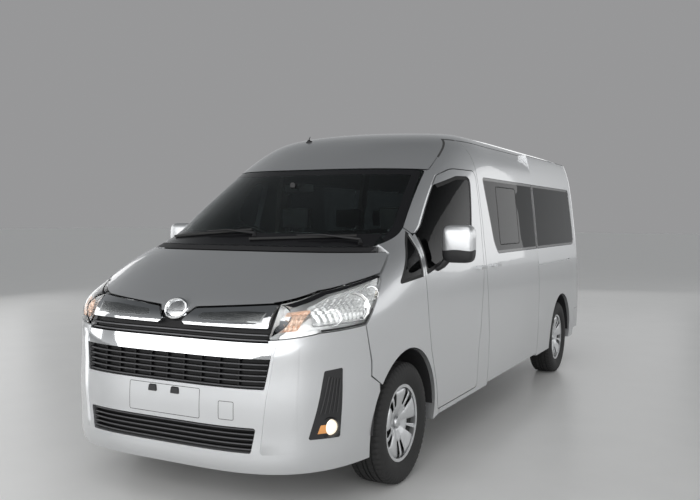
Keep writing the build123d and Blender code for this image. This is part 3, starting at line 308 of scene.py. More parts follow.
def rounded(points, step=0.03, closed=True):
    """Path through (u, v, radius) corners, with round corners and even steps."""
    path, n = [], len(points)
    for i, (u, v, r) in enumerate(points):
        here = Vector((u, v))
        before, after = Vector(points[i - 1][:2]), Vector(points[(i + 1) % n][:2])
        if not r or (not closed and i in (0, n - 1)):
            path.append(here)
            continue
        a, b = (before - here), (after - here)
        cut = min(r / max(math.tan(a.angle(b) / 2), 0.05), a.length * 0.45, b.length * 0.45)
        p, q = here + a.normalized() * cut, here + b.normalized() * cut
        path += [p.lerp(here, t).lerp(here.lerp(q, t), t) for t in (0, 0.2, 0.4, 0.6, 0.8, 1)]
    out = []
    for i, p in enumerate(path):
        if not closed and i == len(path) - 1:
            out.append(p)
            break
        q = path[(i + 1) % len(path)]
        count = max(1, math.ceil((q - p).length / step))
        out += [p.lerp(q, k / count) for k in range(count)]
    return out


def rectangle(u0, v0, u1, v1, radius):
    """Corners of an upright rectangle for strip and patch."""
    return [(u0, v0, radius), (u1, v0, radius), (u1, v1, radius), (u0, v1, radius)]


def strip(name, points, width, surface, view, finish, body="van", slot="black_trim", lift=0.0008,
          crown=0.0, sink=0.004, closed=True, step=0.03, inset=0.0):
    """Band along a path over the CAD's surface, moved inwards by inset; its two edges turn down into it."""
    path = rounded(points, step, closed)
    n, rows = len(path), []
    turn = sum(p.x * path[(i + 1) % n].y - p.y * path[(i + 1) % n].x for i, p in enumerate(path))
    inwards = math.copysign(inset, turn)
    for i, p in enumerate(path):
        a = path[i - 1] if closed or i else p
        b = path[(i + 1) % n] if closed or i < n - 1 else p
        side = (b - a).normalized()
        p = p + Vector((-side.y, side.x)) * inwards
        side = Vector((-side.y, side.x)) * width / 2
        row = []
        for share, rise in ((1, -sink), (1, lift), (0, lift + crown), (-1, lift), (-1, -sink)):
            got = hit(surface, view, *(p + side * share))
            if got is None:
                row = None
                break
            row.append(got[0] + got[1] * rise)
        rows.append(row)
    verts, faces, at = [], [], {}
    for i, row in enumerate(rows):
        if row:
            at[i] = len(verts)
            verts += row
    for i in range(n if closed else n - 1):
        j = (i + 1) % n
        if i in at and j in at and (verts[at[i] + 2] - verts[at[j] + 2]).length < 4 * step + 0.05:
            faces += [(at[i] + k, at[i] + k + 1, at[j] + k + 1, at[j] + k) for k in range(4)]
    return new_piece(name, verts, faces, finish, body)


def across(surface, view, u, v, reach=0.05):
    """Where a straight look meets the plane of the nearest bit of surface beside a small opening."""
    start, way = VIEWS[view][0](u, v), VIEWS[view][1]
    for k in range(1, 6):
        for du, dv in ((1, 0), (-1, 0), (0, 1), (0, -1)):
            got = hit(surface, view, u + du * reach * k / 5, v + dv * reach * k / 5)
            if got:
                point, normal = got
                return start + way * ((point - start).dot(normal) / way.dot(normal)), normal
    return None


def patch(name, points, surface, view, finish, body="van", lift=0.001, rows=14,
          columns=14, relief=None, sink=0.003):
    """Sheet over the CAD's surface inside an outline; relief gives the extra height at a (u, v)."""
    path = rounded(points, 0.01)
    low, high = min(p.y for p in path), max(p.y for p in path)
    verts, faces = [], []
    for i in range(rows + 1):
        v = low + (high - low) * min(max(i / rows, 0.002), 0.998)
        cuts = []
        for k, p in enumerate(path):
            q = path[(k + 1) % len(path)]
            if (p.y - v) * (q.y - v) <= 0 and p.y != q.y:
                cuts.append(p.x + (q.x - p.x) * (v - p.y) / (q.y - p.y))
        if len(cuts) < 2:
            return None
        left, right = min(cuts), max(cuts)
        for j in range(columns + 1):
            u = left + (right - left) * j / columns
            got = hit(surface, view, u, v) or across(surface, view, u, v)
            if got is None:
                return None
            edge = i in (0, rows) or j in (0, columns)
            rise = -sink if edge else lift + (relief(u, v) if relief else 0)
            verts.append(got[0] + got[1] * rise)
    width = columns + 1
    for i in range(rows):
        faces += [(i * width + j, i * width + j + 1, (i + 1) * width + j + 1, (i + 1) * width + j)
                  for j in range(columns)]
    return new_piece(name, verts, faces, finish, body)


def basis(normal, up=Vector((0, 0, 1))):
    """Turn that takes +Z to a normal, with +Y as near to up as it can be."""
    z = Vector(normal).normalized()
    x = Vector(up).cross(z).normalized()
    return Matrix((x, z.cross(x), z)).transposed()


def lathe(name, profile, place, axis, finish, body, segments=40, squeeze=(1, 1), index=None,
          waves=0, wave=0.0):
    """Surface turned about an axis; profile holds (radius, height) pairs."""
    turn, verts, faces, kinds = basis(axis), [], [], []
    for k in range(segments):
        t = 2 * math.pi * k / segments
        for r, h in profile:
            rr = r * (1 + wave * math.cos(waves * t)) if waves else r
            verts.append(Vector(place)
                         + turn @ Vector((rr * math.cos(t) * squeeze[0], rr * math.sin(t) * squeeze[1],
                                          h)))
    m = len(profile)
    for k in range(segments):
        a, b = k * m, (k + 1) % segments * m
        for i in range(m - 1):
            faces.append((a + i, a + i + 1, b + i + 1, b + i))
            kinds.append(index[i] if index else 0)
    return new_piece(name, verts, faces, finish, body, index=kinds if index else None)


def sweep(name, points, radii, finish, body, sides=16, power=2.4):
    """Closed bar along a path; radii holds (across, upright) half sizes at each point."""
    verts, faces = [], []
    pts = [Vector(p) for p in points]
    for i, p in enumerate(pts):
        way = (pts[min(i + 1, len(pts) - 1)] - pts[max(i - 1, 0)]).normalized()
        up = Vector((0, 0, 1)) if abs(way.z) < 0.9 else Vector((0, 1, 0))
        across = way.cross(up).normalized()
        up = across.cross(way)
        for k in range(sides):
            t = 2 * math.pi * k / sides
            c, s = math.cos(t), math.sin(t)
            verts.append(p + across * radii[i][0] * math.copysign(abs(c) ** (2 / power), c)
                         + up * radii[i][1] * math.copysign(abs(s) ** (2 / power), s))
    for i in range(len(pts) - 1):
        faces += [(i * sides + k, i * sides + (k + 1) % sides, (i + 1) * sides + (k + 1) % sides,
                   (i + 1) * sides + k) for k in range(sides)]
    faces += [tuple(range(sides)), tuple(range((len(pts) - 1) * sides, len(pts) * sides))]
    return new_piece(name, verts, faces, finish, body)


def lump(name, centre, half, finish, body, power=(4, 4, 4), grid=(24, 16), shape=None, index=None):
    """Rounded block in the manner of a superellipsoid; shape may move each point."""
    verts, faces, kinds = [], [], []
    rings, spokes = grid[1], grid[0]
    for i in range(rings + 1):
        a = math.pi * (i / rings - 0.5)
        for k in range(spokes):
            b = 2 * math.pi * k / spokes
            d = Vector((math.cos(a) * math.cos(b), math.cos(a) * math.sin(b), math.sin(a)))
            size = sum(abs(d[j]) ** power[j] for j in range(3)) ** (-1 / max(power))
            p = Vector([d[j] * size * half[j] for j in range(3)])
            verts.append(Vector(centre) + (shape(p) if shape else p))
    for i in range(rings):
        for k in range(spokes):
            face = (i * spokes + k, i * spokes + (k + 1) % spokes, (i + 1) * spokes + (k + 1) % spokes,
                    (i + 1) * spokes + k)
            faces.append(face)
            if index:
                kinds.append(index(sum((verts[q] for q in face), Vector()) / 4))
    return new_piece(name, verts, faces, finish, body, index=kinds if index else None)


# ---------------------------------------------------------------- windscreen, wipers and inner mirror
def build_windscreen():
    """Black border baked on the glass, two wipers and the mirror behind it."""
    surface = tree("windscreen")
    low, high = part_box("windscreen")
    base, top, half = low[2], high[2], high[0]
    edge = [(-half + 0.105, top - 0.020, 0.03), (-half + 0.022, base + 0.120, 0.15),
            (-half + 0.030, base + 0.020, 0.08), (half - 0.030, base + 0.020, 0.08),
            (half - 0.022, base + 0.120, 0.15), (half - 0.105, top - 0.020, 0.03)]
    strip("screen_border", edge, 0.036, surface, "front", BLACK_GLOSS, lift=0.0005, sink=0.001)
    strip("screen_foot", [(-half + 0.06, base + 0.045, 0), (half - 0.06, base + 0.045, 0)], 0.055,
          surface, "front", BLACK_GLOSS, lift=0.0006, sink=0.001, closed=False)
    for name, start, end in (("wiper_left", (0.66, 0.055), (0.02, 0.030)),
                             ("wiper_right", (-0.02, 0.085), (-0.66, 0.035))):
        blade = []
        for k in range(13):
            t = k / 12
            got = hit(surface, "front", start[0] + (end[0] - start[0]) * t,
                      base + start[1] + (end[1] - start[1]) * t)
            blade.append(got[0] + got[1] * 0.010)
        sweep(name, blade, [(0.007, 0.008)] * 13, RUBBER, "van", sides=8)
        arm = [blade[6] + Vector((0, -0.004, 0.012)), blade[3] + Vector((0, -0.016, 0.010)),
               blade[0] + Vector((0.04, -0.03, -0.02)), blade[0] + Vector((0.05, -0.05, -0.045))]
        sweep(name + "_arm", arm, [(0.006, 0.004), (0.008, 0.005), (0.012, 0.008), (0.016, 0.012)], BLACK,
              "van", sides=10)
    got = hit(surface, "front", 0, top - 0.13)
    lump("inner_mirror", got[0] + Vector((0, 0.10, 0.0)), (0.115, 0.018, 0.035), BLACK, "van")
    sweep("inner_mirror_stem",
          [got[0] + Vector((0, 0.012, 0.02)), got[0] + Vector((0, 0.05, 0.02)),
           got[0] + Vector((0, 0.09, 0.0))], [(0.02, 0.02), (0.012, 0.012), (0.012, 0.012)], BLACK, "van")


# ---------------------------------------------------------------- headlamps and fog lamps
def outer_skin(mesh, side, centre, keep=0.6):
    """Faces of one side's solid that look away from a point inside the van."""
    return [p for p in mesh.polygons
            if p.center.x * side >= 0 and p.normal.dot((p.center - centre).normalized()) > keep]


def build_headlamps():
    """Clear lens over a silver housing, with bright bowls, bulbs, flutes and a warm indicator."""
    lenses = []
    for name, side in SIDES:
        centre = Vector((side * 0.45, AF - 0.25, 0.90))
        mesh = nodes["headlamps"].data
        faces = outer_skin(mesh, side, centre)
        used = sorted({i for p in faces for i in p.vertices})
        at = {v: k for k, v in enumerate(used)}
        normals = {v: Vector() for v in used}
        for p in faces:
            for v in p.vertices:
                normals[v] += p.normal * p.area
        skin = [mesh.vertices[v].co.copy() for v in used]
        deep = [mesh.vertices[v].co - normals[v].normalized() * HOUSING_DEPTH for v in used]
        cells = [tuple(at[v] for v in p.vertices) for p in faces]
        lens = new_piece(f"headlamp_lens_{name}", skin, cells, THIN, "van")
        mod = lens.modifiers.new("wall", "SOLIDIFY")
        mod.thickness, mod.offset = LENS_WALL, -1
        lenses.append(lens)
        edges = {}
        for cell in cells:
            for a, b in zip(cell, cell[1:] + cell[:1]):
                edges[tuple(sorted((a, b)))] = edges.get(tuple(sorted((a, b))), 0) + 1
        rim = [e for e, count in edges.items() if count == 1]
        n = len(skin)
        inner = [s.lerp(d, 0.09) for s, d in zip(skin, deep)]
        house = [tuple(i + n for i in cell) for cell in cells] + [(a, b, b + n, a + n) for a, b in rim]
        new_piece(f"headlamp_housing_{name}", inner + deep, house, LAMP_SILVER, "van")
        surface = tree("headlamps")
        for k, (u, v, radius) in enumerate(LAMP_BOWLS):
            got = hit(surface, name, u, v)
            if got is None:
                continue
            way = (got[1] + Vector((0, -0.6, 0))).normalized()
            place = got[0] - way * (0.040 + radius * 0.15)
            bowl = [(0.002, -0.012), (0.012, -0.010), (radius * 0.45, -0.002), (radius * 0.75, 0.012),
                    (radius, 0.030), (radius + 0.004, 0.031), (radius + 0.004, 0.020)]
            lathe(f"headlamp_bowl_{name}_{k}", bowl, place, way, LAMP_CHROME, "van",
                  segments=36, waves=12, wave=0.03)
            bulb = [(0.0005, 0.024), (0.006, 0.022), (0.009, 0.014), (0.010, 0.002), (0.010, -0.010)]
            lathe(f"headlamp_bulb_{name}_{k}", bulb, place, way, BULB, "van", segments=20)
        patch(f"headlamp_flutes_{name}", LAMP_FLUTES, surface, name, LAMP_SILVER,
              rows=26, columns=90, lift=-0.024, relief=lambda u,
              v: 0.010 * abs(math.sin(u * 110)) + 0.005 * abs(math.sin(v * 170)))
        patch(f"headlamp_signal_{name}", [(side * u, v, 0.01) for u, v in SIGNAL], surface, "front",
              SIGNAL_SILVER, rows=14, columns=18, lift=-0.016, relief=lambda u,
              v: 0.008 * abs(math.sin(u * 150)) + 0.006 * abs(math.sin(v * 150)))
        strip(f"headlamp_outline_{name}", LAMP_LINE, 0.010,
              tree("headlamps", "fenders", "front_bumper", "hood"), name, BLACK_GLOSS, closed=False,
              lift=0.0006, sink=0.003, step=0.02)
    for lens in lenses:
        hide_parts("headlamps")


LAMP_BOWLS = ((-0.700, 1.045, 0.040), (-0.535, 1.090, 0.070), (-0.380, 1.150, 0.034))   # u, v, radius
LAMP_FLUTES = [(-0.800, 1.000, 0.01), (-0.770, 1.090, 0.01), (-0.630, 1.145, 0.05), (-0.461, 1.180, 0.05),
               (-0.290, 1.214, 0.012), (-0.500, 1.012, 0.012)]
SIGNAL = [(0.636, 0.975), (0.730, 0.980), (0.765, 1.085), (0.655, 1.070)]
LAMP_LINE = [(-0.800, 1.098, 0), (-0.630, 1.158, 0.05), (-0.461, 1.193, 0.05), (-0.250, 1.232, 0.012),
             (-0.500, 0.998, 0.012), (-0.765, 0.980, 0)]


def build_fog_lamps():
    """Round lamp at the foot of each bezel, ribs above it and an amber glow painted on the floor beside it.
    """
    surface = tree("fog_bezels")
    for name, side in SIDES:
        got = hit(surface, name, -0.726, 0.487)
        way = (got[1] + Vector((0, -0.5, 0))).normalized()
        lathe(f"fog_ring_{name}",
              [(0.052, -0.02), (0.054, 0.006), (0.051, 0.010), (0.046, 0.009), (0.042, -0.004)], got[0],
              way, BLACK_GLOSS, "van", segments=48)
        lathe(f"fog_lens_{name}",
              [(0.0005, 0.009), (0.014, 0.008), (0.028, 0.005), (0.038, 0.001), (0.043, -0.004)], got[0],
              way, FOG_GLOW, "van", segments=40)
        for k in range(5):
            v = 0.745 - 0.004 * k
            u0, u1 = -0.728 + 0.015 * k, -0.700 + 0.012 * k
            strip(f"fog_rib_{name}_{k}", [(u0, v, 0), (u0 - 0.045 + 0.006 * k, 0.560, 0)], 0.008, surface,
                  name, BLACK, crown=0.003, lift=0.003, closed=False)
        # Painted light: the bezel floor round the lamp glows amber.
        patch(f"fog_painted_glow_floor_{name}",
              [(-0.806, 0.445, 0.01), (-0.672, 0.440, 0.01), (-0.672, 0.520, 0.01),
               (-0.780, 0.520, 0.01)], surface, name, PAINTED_AMBER_GLOW, rows=4, columns=6,
              lift=0.0005)


# ---------------------------------------------------------------- front trim
def build_front_trim():
    """Plain disc on the nose, bare plate place, painted highlights along the slat fronts, bumper corners and
    panel meshes.
    """
    hood = tree("hood")
    got = hit(hood, "front", 0, 1.062)
    way = (got[1] + Vector((0, -0.8, 0))).normalized()
    ring = [(0.058, 0.000), (0.060, 0.008), (0.066, 0.012), (0.072, 0.010), (0.077, 0.004),
            (0.079, -0.014)]
    lathe("front_disc_rim", ring, got[0], way, CHROME, "hood", segments=56,
          squeeze=(1.0, 0.82))
    disc = [(0.0005, 0.006), (0.020, 0.0055), (0.045, 0.004), (0.058, 0.001), (0.060, -0.006)]
    lathe("front_disc", disc, got[0], way, SATIN, "hood", segments=56, squeeze=(1.0, 0.82))
    bumper = tree("front_bumper")
    strip("plate_line", rectangle(-0.235, 0.520, 0.235, 0.672, 0.01), 0.003,
          bumper, "front", GROOVE, **ENGRAVED)
    strip("tow_cover_line", rectangle(0.352, 0.530, 0.438, 0.622, 0.008),
          0.003, bumper, "front", GROOVE, **ENGRAVED)
    for k, x in enumerate((-0.075, 0.075)):
        patch(f"plate_clip_{k}",
              [(x - 0.034, 0.628, 0.004), (x + 0.034, 0.628, 0.004), (x + 0.026, 0.668, 0.004),
               (x - 0.026, 0.668, 0.004)], bumper, "front", BLACK, lift=0.008, rows=6, columns=8,
              relief=lambda u, v, x=x: 0.004 * (abs(u - x) < 0.012))
    grid = tree("grilles")
    # Lighter glossy strips along each slat's front: painted highlights on the black slats.
    for k, (v, half) in enumerate([(0.700 + 0.028 * i, 0.585 + 0.004 * i) for i in range(5)]
                                  + [(0.385 + 0.025 * i, 0.530 + 0.003 * i) for i in range(5)]
                                  + [(0.932 + 0.026 * i, 0.590) for i in range(2)]):
        strip(f"slat_painted_highlight_{k}", [(-half, v, 0), (half, v, 0)], 0.005, grid, "front", SLAT_PAINTED_HIGHLIGHT, closed=False,
              lift=0.0006, sink=0.001)
    for name, side in SIDES:
        patch(f"bumper_corner_{name}", [(side * x, z, r) for x, z, r in CORNER], bumper, "front", PAINT,
              rows=40, columns=24, lift=0.0004, sink=0.0002, relief=corner_rise)
    panels = tree("grille_panels")
    for name, side in SIDES:
        patch(f"panel_mesh_{name}",
              [(side * 0.150, 1.020, 0.01), (side * 0.560, 1.010, 0.01), (side * 0.565, 1.078, 0.02),
               (side * 0.170, 1.052, 0.02)], panels, "front", MESH_CHROME,
              lift=0.0008, rows=8, columns=40)


CORNER = [(0.640, 0.915, 0.01), (0.608, 0.680, 0.02), (0.572, 0.362, 0.02), (0.745, 0.362, 0.02),
          (0.745, 0.915, 0.02)]
CORNER_LOW, CORNER_TOP, CORNER_HEIGHT = 0.362, 0.915, 0.553
CORNER_RISE, CORNER_FADE, CORNER_ENDS = 0.012, 0.13, 0.05


def corner_rise(u, v):
    """The bumper's corner stands proud of the middle along a crisp edge and fades outwards."""
    edge = 0.572 + (0.640 - 0.572) * (v - CORNER_LOW) / CORNER_HEIGHT
    t = min(max((abs(u) - edge) / CORNER_FADE, 0), 1)
    ends = min(1, (CORNER_TOP - v) / CORNER_ENDS, (v - CORNER_LOW) / CORNER_ENDS)
    return CORNER_RISE * (1 - t) ** 2 * max(0, ends)


# ---------------------------------------------------------------- glass surrounds and side lines
def build_sides():
    """Seals round the side glass, the bands between panes and the line below the roof."""
    skin = tree("front_door_left", "front_door_right", "door_glass_left", "door_glass_right")
    body = tree("sliding_doors", "rear_quarters", "side_glass", "side_frames", "fenders")
    for name, side in SIDES:
        strip(f"door_sash_{name}",
              [(0.290, 1.204, 0.015), (0.620, 1.262, 0.2), (1.185, 1.292, 0.06), (1.200, 1.480, 0),
               (1.275, GLASS_TOP - 0.008, 0.055), (1.040, GLASS_TOP - 0.014, 0.3),
               (0.700, GLASS_TOP - 0.092, 0.3), (0.290, GLASS_TOP - 0.330, 0.015)], 0.022, skin, name,
              RUBBER, body=f"front_door_{name}", crown=0.001, inset=0.014)
        strip(f"corner_sash_{name}",
              [(-0.112, 1.171, 0.012), (0.238, 1.196, 0.006), (0.238, 1.480, 0.006), (0.104, 1.354, 0.2)],
              0.016, body, name, RUBBER, crown=0.001, inset=0.011)
        strip(f"sliding_sash_{name}",
              [(1.530, GLASS_TOP, 0.03), (1.690, 1.360, 0.2), (1.765, GLASS_LOW, 0.06),
               (2.944, GLASS_LOW, 0.006), (2.944, GLASS_TOP, 0.006)], 0.020, body, name, BLACK_GLOSS,
              inset=0.013)
        strip(f"quarter_sash_{name}",
              [(2.970, GLASS_LOW, 0.006), (4.500, GLASS_LOW, 0.09), (4.440, GLASS_TOP, 0.06),
               (2.970, GLASS_TOP, 0.006)], 0.020, body, name, BLACK_GLOSS, inset=0.013)
        for k, u in enumerate((2.9470, 2.9670)):
            strip(f"band_{name}_{k}", [(u, GLASS_LOW + 0.002, 0), (u, GLASS_TOP - 0.002, 0)], 0.0125,
                  body, name, BLACK_GLOSS, closed=False, lift=0.0012)
        strip(f"slide_frame_{name}", rectangle(1.86, 1.345, 2.40, 1.800, 0.03),
              0.008, body, name, RUBBER, lift=0.0008)
        strip(f"fender_line_{name}", [(4.79, 2.128, 0), (1.262, 2.128, 0), (0.790, 1.879, 0)], 0.009,
              tree("roof", "side_frames", "rear_quarters", "sliding_doors"), name, GROOVE,
              slot="body_paint", closed=False, lift=0.0004, sink=0.001)


# ---------------------------------------------------------------- mirrors
def build_mirrors():
    """Painted shell over a black lower part, the glass and the arm to the door."""
    for name, side in SIDES:
        low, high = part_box(f"mirror_{name}")
        out = max(abs(low[0]), abs(high[0]))
        middle = Vector((side * (out - 0.104), (low[1] + high[1]) / 2, 1.390))
        cover = lump(f"mirror_shell_{name}", middle, (0.102, 0.064, 0.119), [PAINT, BLACK],
                     f"front_door_{name}", power=(5, 4, 5), grid=(48, 32),
                     shape=lambda p: Vector((p.x, p.y * (1 - 3.6 * max(0, p.y)), p.z)), index=lambda c,
                     m=middle: 0 if c.z > 1.352 and c.y < m.y + 0.030 else 1)
        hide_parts(f"mirror_{name}")
        lump(f"mirror_glass_{name}", middle + Vector((0, 0.052, 0.004)), (0.088, 0.010, 0.100), MIRROR,
             f"front_door_{name}", power=(6, 2, 6), grid=(32, 20))
        sweep(f"mirror_arm_{name}", [(side * 0.905, AF + 0.480, 1.214), (side * 0.950, AF + 0.480, 1.226),
                                     (side * 0.985, AF + 0.482, 1.252), (side * 1.015, AF + 0.486, 1.290),
                                     (side * 1.040, AF + 0.490, 1.320)],
              [(0.042, 0.012), (0.040, 0.014), (0.034, 0.020), (0.030, 0.024), (0.026, 0.024)], BLACK,
              f"front_door_{name}")


# ---------------------------------------------------------------- wheels
def tyre(name, body):
    """Tyre with four grooves round it and cut shoulder blocks."""
    low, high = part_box(name)
    middle = Vector([(a + b) / 2 for a, b in zip(low, high)])
    half, radius = (high[0] - low[0]) / 2, (high[2] - low[2]) / 2
    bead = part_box(name.replace("tyre", "rim"))[1][2] - middle.z - 0.010
    profile = [(bead, half * 0.62), (bead + 0.006, half * 0.80), (bead + 0.030, half * 0.93),
               (radius - 0.075, half), (radius - 0.045, half * 0.985), (radius - 0.022, half * 0.93),
               (radius - 0.012, half * 0.86)]
    steps = [0.80, 0.52, 0.50, 0.44, 0.42, 0.16, 0.14, 0.08, 0.06]
    deep = {0.50, 0.44, 0.14, 0.08}
    row = [(radius - 0.004 * (s > 0.6) - (0.008 if s in deep else 0), half * s) for s in steps]
    shape = profile + row + [(r, -x) for r, x in reversed(row)] + [(r, -x) for r, x in reversed(profile)]
    segments, verts, faces = TREAD_STEPS, [], []
    for k in range(segments):
        t = 2 * math.pi * k / segments
        for r, x in shape:
            share = abs(x) / half
            cut = 0.006 if k % 4 == 0 and share > 0.50 and r > radius - 0.03 else 0
            cut = 0.004 if k % 6 == 2 and 0.14 < share < 0.45 and r > radius - 0.005 else cut
            verts.append(middle + Vector((x, (r - cut) * math.cos(t), (r - cut) * math.sin(t))))
    m = len(shape)
    for k in range(segments):
        a, b = k * m, (k + 1) % segments * m
        faces += [(a + i, a + i + 1, b + i + 1, b + i) for i in range(m - 1)]
    piece = new_piece(name + "_tread", verts, faces, RUBBER, body)
    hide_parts(name)


def wheel_cover(name, middle, side, face, body):
    """Five broad raised spokes with two slots between each pair, over a dark well."""
    rings = [0.002, 0.028, 0.034, 0.055, 0.080, 0.095, 0.110, 0.120, 0.135, 0.150, 0.165, 0.180, 0.190,
             0.198, 0.206, 0.216, 0.222, 0.228]
    heights = [0.052, 0.052, 0.046, 0.048, 0.056, 0.060, 0.064, 0.066, 0.069, 0.072, 0.075, 0.077, 0.077,
               0.075, 0.070, 0.072, 0.080, 0.074]
    segments = COVER_STEPS
    outward = face - side * 0.004
    verts, faces = [], []
    for k in range(segments):
        t = 2 * math.pi * k / segments
        gap = math.cos(SPOKES * t)
        for r, h in zip(rings, heights):
            grows, fades = min(1, max(0, (r - 0.05) / 0.03)), min(1, max(0, (0.205 - r) / 0.02))
            spoke = SPOKE_RISE * max(0, gap) ** 0.5 * grows * fades
            x = outward + side * (h - 0.080 + spoke)
            verts.append(Vector((x, middle.y + r * math.sin(t), middle.z + r * math.cos(t))))
    m = len(rings)
    for k in range(segments):
        turn = ((k + 0.5) / segments * SPOKES) % 1
        in_slot = any(start < turn < end for start, end in SLOTS)
        for i in range(m - 1):
            if in_slot and SLOT_INNER < rings[i] < SLOT_OUTER:
                continue
            a, b = k * m, (k + 1) % segments * m
            faces.append((a + i, a + i + 1, b + i + 1, b + i))
    cover = new_piece(name, verts, faces, WHEEL, body)
    mod = cover.modifiers.new("wall", "SOLIDIFY")
    mod.thickness, mod.offset = 0.004, -1
    well = [(0.002, 0.026), (0.100, 0.026), (0.150, 0.028), (0.190, 0.034), (0.200, 0.060)]
    lathe(name + "_well", well, middle, (side, 0, 0), CHASSIS, body,
          segments=64)
    barrel = [(0.206, -0.088), (0.227, -0.088), (0.227, -0.082), (0.214, -0.080), (0.214, 0.078),
              (0.227, 0.084), (0.227, 0.090), (0.206, 0.088), (0.206, -0.088)]
    lathe(name + "_barrel", barrel, middle, (side, 0, 0), WHEEL, body, segments=96)
    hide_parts(name.replace("wheel_cover", "rim"))


def build_wheels():
    """Tyre, brake disc, cover and cap at each corner."""
    for end, y in (("front", AF), ("rear", AR)):
        for name, side in SIDES:
            body = f"wheel_{end}_{name}"
            tyre(f"tyre_{end}_{name}", body)
            low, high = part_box(f"rim_{end}_{name}")
            middle = Vector([(a + b) / 2 for a, b in zip(low, high)])
            face = side * max(abs(low[0]), abs(high[0]))
            disc = [(0.070, 0.004), (0.075, 0.010), (0.148, 0.010), (0.150, 0.006), (0.150, -0.006),
                    (0.148, -0.010), (0.070, -0.010)]
            lathe(f"brake_disc_{end}_{name}", disc, (middle.x + side * 0.012, middle.y, middle.z),
                  (side, 0, 0), BRAKE, body, segments=64)
            wheel_cover(f"wheel_cover_{end}_{name}", middle, side, face, body)
            lathe(f"wheel_cap_{end}_{name}",
                  [(0.0005, 0.006), (0.020, 0.0055), (0.030, 0.003), (0.034, -0.004)],
                  (middle.x + side * CAP_OUT, middle.y, middle.z), (side, 0, 0), SATIN, body,
                  segments=40)


# ---------------------------------------------------------------- seats
def cushion(name, centre, half, crown, channels, finish, body, along="z"):
    """Crowned pad with a seam round it and sewn channels on its face."""
    face = {"z": 2, "y": 1}[along]
    n = 20
    verts, faces = [], []

    def point(u, v, w):
        d = [0, 0, 0]
        pull = 1 - PULL * (u * u * v * v)
        d[0] = half[0] * u * pull
        other = 1 if face == 2 else 2
        d[other] = half[other] * v * pull
        bulge = (1 - abs(u) ** 3) * (1 - abs(v) ** 3)
        groove = sum(math.exp(-((u - c) / 0.035) ** 2) for c in channels)
        rise = half[face] * 0.72 + crown * bulge - 0.010 * groove * bulge
        d[face] = w * rise
        return Vector(d)

    grid = {}
    for w in (-1, 1):
        for i in range(n + 1):
            for j in range(n + 1):
                u, v = -1 + 2 * i / n, -1 + 2 * j / n
                grid[w, i, j] = len(verts)
                verts.append(Vector(centre) + point(u, v, w if w > 0 or face == 1 else w * 0.95))
    for w in (-1, 1):
        faces += [(grid[w, i, j], grid[w, i + 1, j], grid[w, i + 1, j + 1], grid[w, i, j + 1])
                  for i in range(n) for j in range(n)]
    loop = ([(i, 0) for i in range(n)] + [(n, j) for j in range(n)]
            + [(i, n) for i in range(n, 0, -1)] + [(0, j) for j in range(n, 0, -1)])
    mids = []
    for i, j in loop:
        a, b = verts[grid[-1, i, j]], verts[grid[1, i, j]]
        mid = (a + b) / 2
        out = mid - Vector(centre)
        out[face] = 0
        mids.append(len(verts))
        verts.append(mid + out.normalized() * 0.012)
    for k in range(len(loop)):
        (i, j), (p, q) = loop[k], loop[(k + 1) % len(loop)]
        a, b = mids[k], mids[(k + 1) % len(loop)]
        faces += [(grid[-1, i, j], grid[-1, p, q], b, a), (a, b, grid[1, p, q], grid[1, i, j])]
    pad = new_piece(name, verts, faces, finish, body)
    pad.modifiers.remove(pad.modifiers["edges"])
    mod = pad.modifiers.new("round", "SUBSURF")
    mod.levels = mod.render_levels = 1
    for w in (-1, 1):
        seam = bpy.data.curves.new(f"{name}_seam", "CURVE")
        seam.dimensions = "3D"
        line = seam.splines.new("POLY")
        line.points.add(len(loop) - 1)
        for k, (i, j) in enumerate(loop):
            line.points[k].co = (*verts[grid[w, i, j]], 1)
        line.use_cyclic_u = True
        seam.bevel_depth = PIPE
        seam.bevel_resolution = 1
        seam.materials.append(PIPING)
        rope = bpy.data.objects.new(f"{name}_seam_{'top' if w > 0 else 'low'}", seam)
        bpy.context.scene.collection.objects.link(rope)
        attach(rope, body)
    return pad


def seat(name, x, y, width, node):
    """Cushion, back and head restraint on two posts, in place of one CAD seat."""
    half = width / 2 - 0.012
    base = cushion(f"{name}_cushion", (x, y + 0.235, 0.885), (half, 0.235, 0.065), 0.026, (-0.5, 0.5),
                   CLOTH, "van")
    back = cushion(f"{name}_back", (x, y + 0.455, 1.190), (half, 0.052, 0.245), 0.020, (-0.5, 0.5), CLOTH,
                   "van", along="y")
    head = cushion(f"{name}_head", (x, y + 0.460, 1.545), (0.118, 0.040, 0.072), 0.012, (), CLOTH, "van",
                   along="y")
    for side in (-0.06, 0.06):
        sweep(f"{name}_post_{'a' if side < 0 else 'b'}",
              [(x + side, y + 0.460, 1.42), (x + side, y + 0.460, 1.48)], [(0.006, 0.006)] * 2, CHROME,
              "van", sides=10)
    for pad in (base, back, head):
        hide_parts(node)


def build_seats():
    """Two front seats and four rows of three."""
    for name, x in (("seat_front_left", 0.420), ("seat_front_right", -0.420)):
        seat(name, x, AF + 0.560, 0.470, "front_seats")
    for row in range(SEAT_ROWS):
        for k, x in enumerate(REAR_SEATS_X):
            seat(f"seat_row{row + 1}_{k + 1}", x, AF + FIRST_ROW + ROW_PITCH * row, 0.430, "rear_seats")
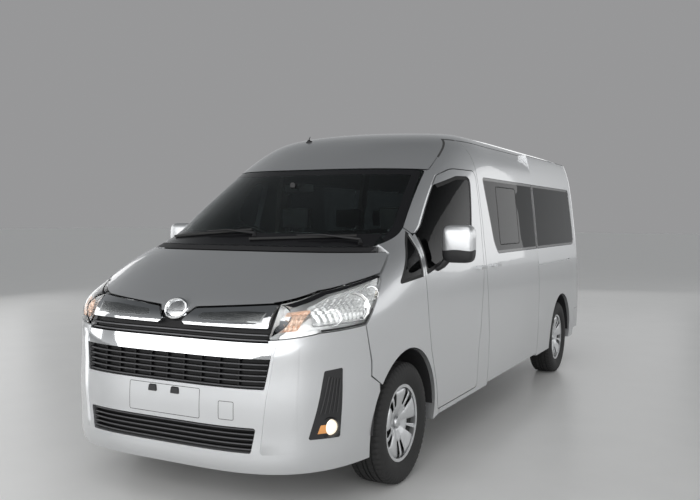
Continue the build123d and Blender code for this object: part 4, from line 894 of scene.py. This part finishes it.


# ---------------------------------------------------------------- roof and rear fittings
def build_fittings():
    """Antenna, roof sheet and the tailgate's fittings."""
    roof = tree("roof")
    got = hit(roof, "top", -0.30, 1.00)
    lathe("antenna_base",
          [(0.0005, 0.020), (0.008, 0.018), (0.014, 0.010), (0.024, 0.003), (0.028, -0.004)], got[0],
          got[1], BLACK, "van", segments=28)
    sweep("antenna_rod",
          [got[0] + Vector((0, 0, 0.012)), got[0] + Vector((-0.01, 0.02, 0.030)),
           got[0] + Vector((-0.02, 0.05, 0.045))], [(0.004, 0.004), (0.003, 0.003), (0.002, 0.002)],
          BLACK, "van", sides=10)
    patch("roof_sheet", rectangle(-0.735, 1.50, 0.735, 4.50, 0.02), roof,
          "top", PAINT, rows=90, columns=70, lift=0.0008, sink=0.001)
    rear = tree("tailgate", "rear_glass")
    strip("gate_sash",
          [(-0.700, 1.283, 0.06), (0.700, 1.283, 0.06), (0.650, 1.890, 0.06), (-0.650, 1.890, 0.06)],
          0.022, rear, "rear", BLACK_GLOSS, body="tailgate", inset=0.014)
    patch("gate_handle", rectangle(-0.300, 1.100, 0.300, 1.150, 0.02), rear,
          "rear", CHROME, body="tailgate", lift=0.014, rows=6, columns=24)
    strip("gate_plate_line", rectangle(-0.270, 0.930, 0.270, 1.070, 0.01),
          0.006, rear, "rear", GROOVE, body="tailgate", **ENGRAVED)
    bumper = tree("rear_bumper")
    for name, side in SIDES:
        patch(f"rear_reflector_{name}", rectangle(side * 0.56, 0.46, side * 0.72, 0.50, 0.01), bumper,
              "rear", RED, lift=0.006, rows=5, columns=12)
    pivot = hit(rear, "rear", 0.0, 1.22)
    tip = hit(rear, "rear", 0.36, 1.36)
    sweep("rear_wiper",
          [pivot[0] + pivot[1] * 0.025, (pivot[0] + tip[0]) / 2 + pivot[1] * 0.030,
           tip[0] + tip[1] * 0.014], [(0.016, 0.012), (0.009, 0.007), (0.006, 0.006)], BLACK, "tailgate")


build_windscreen()
build_headlamps()
build_fog_lamps()
build_front_trim()
build_sides()
build_mirrors()
build_wheels()
build_seats()
build_fittings()
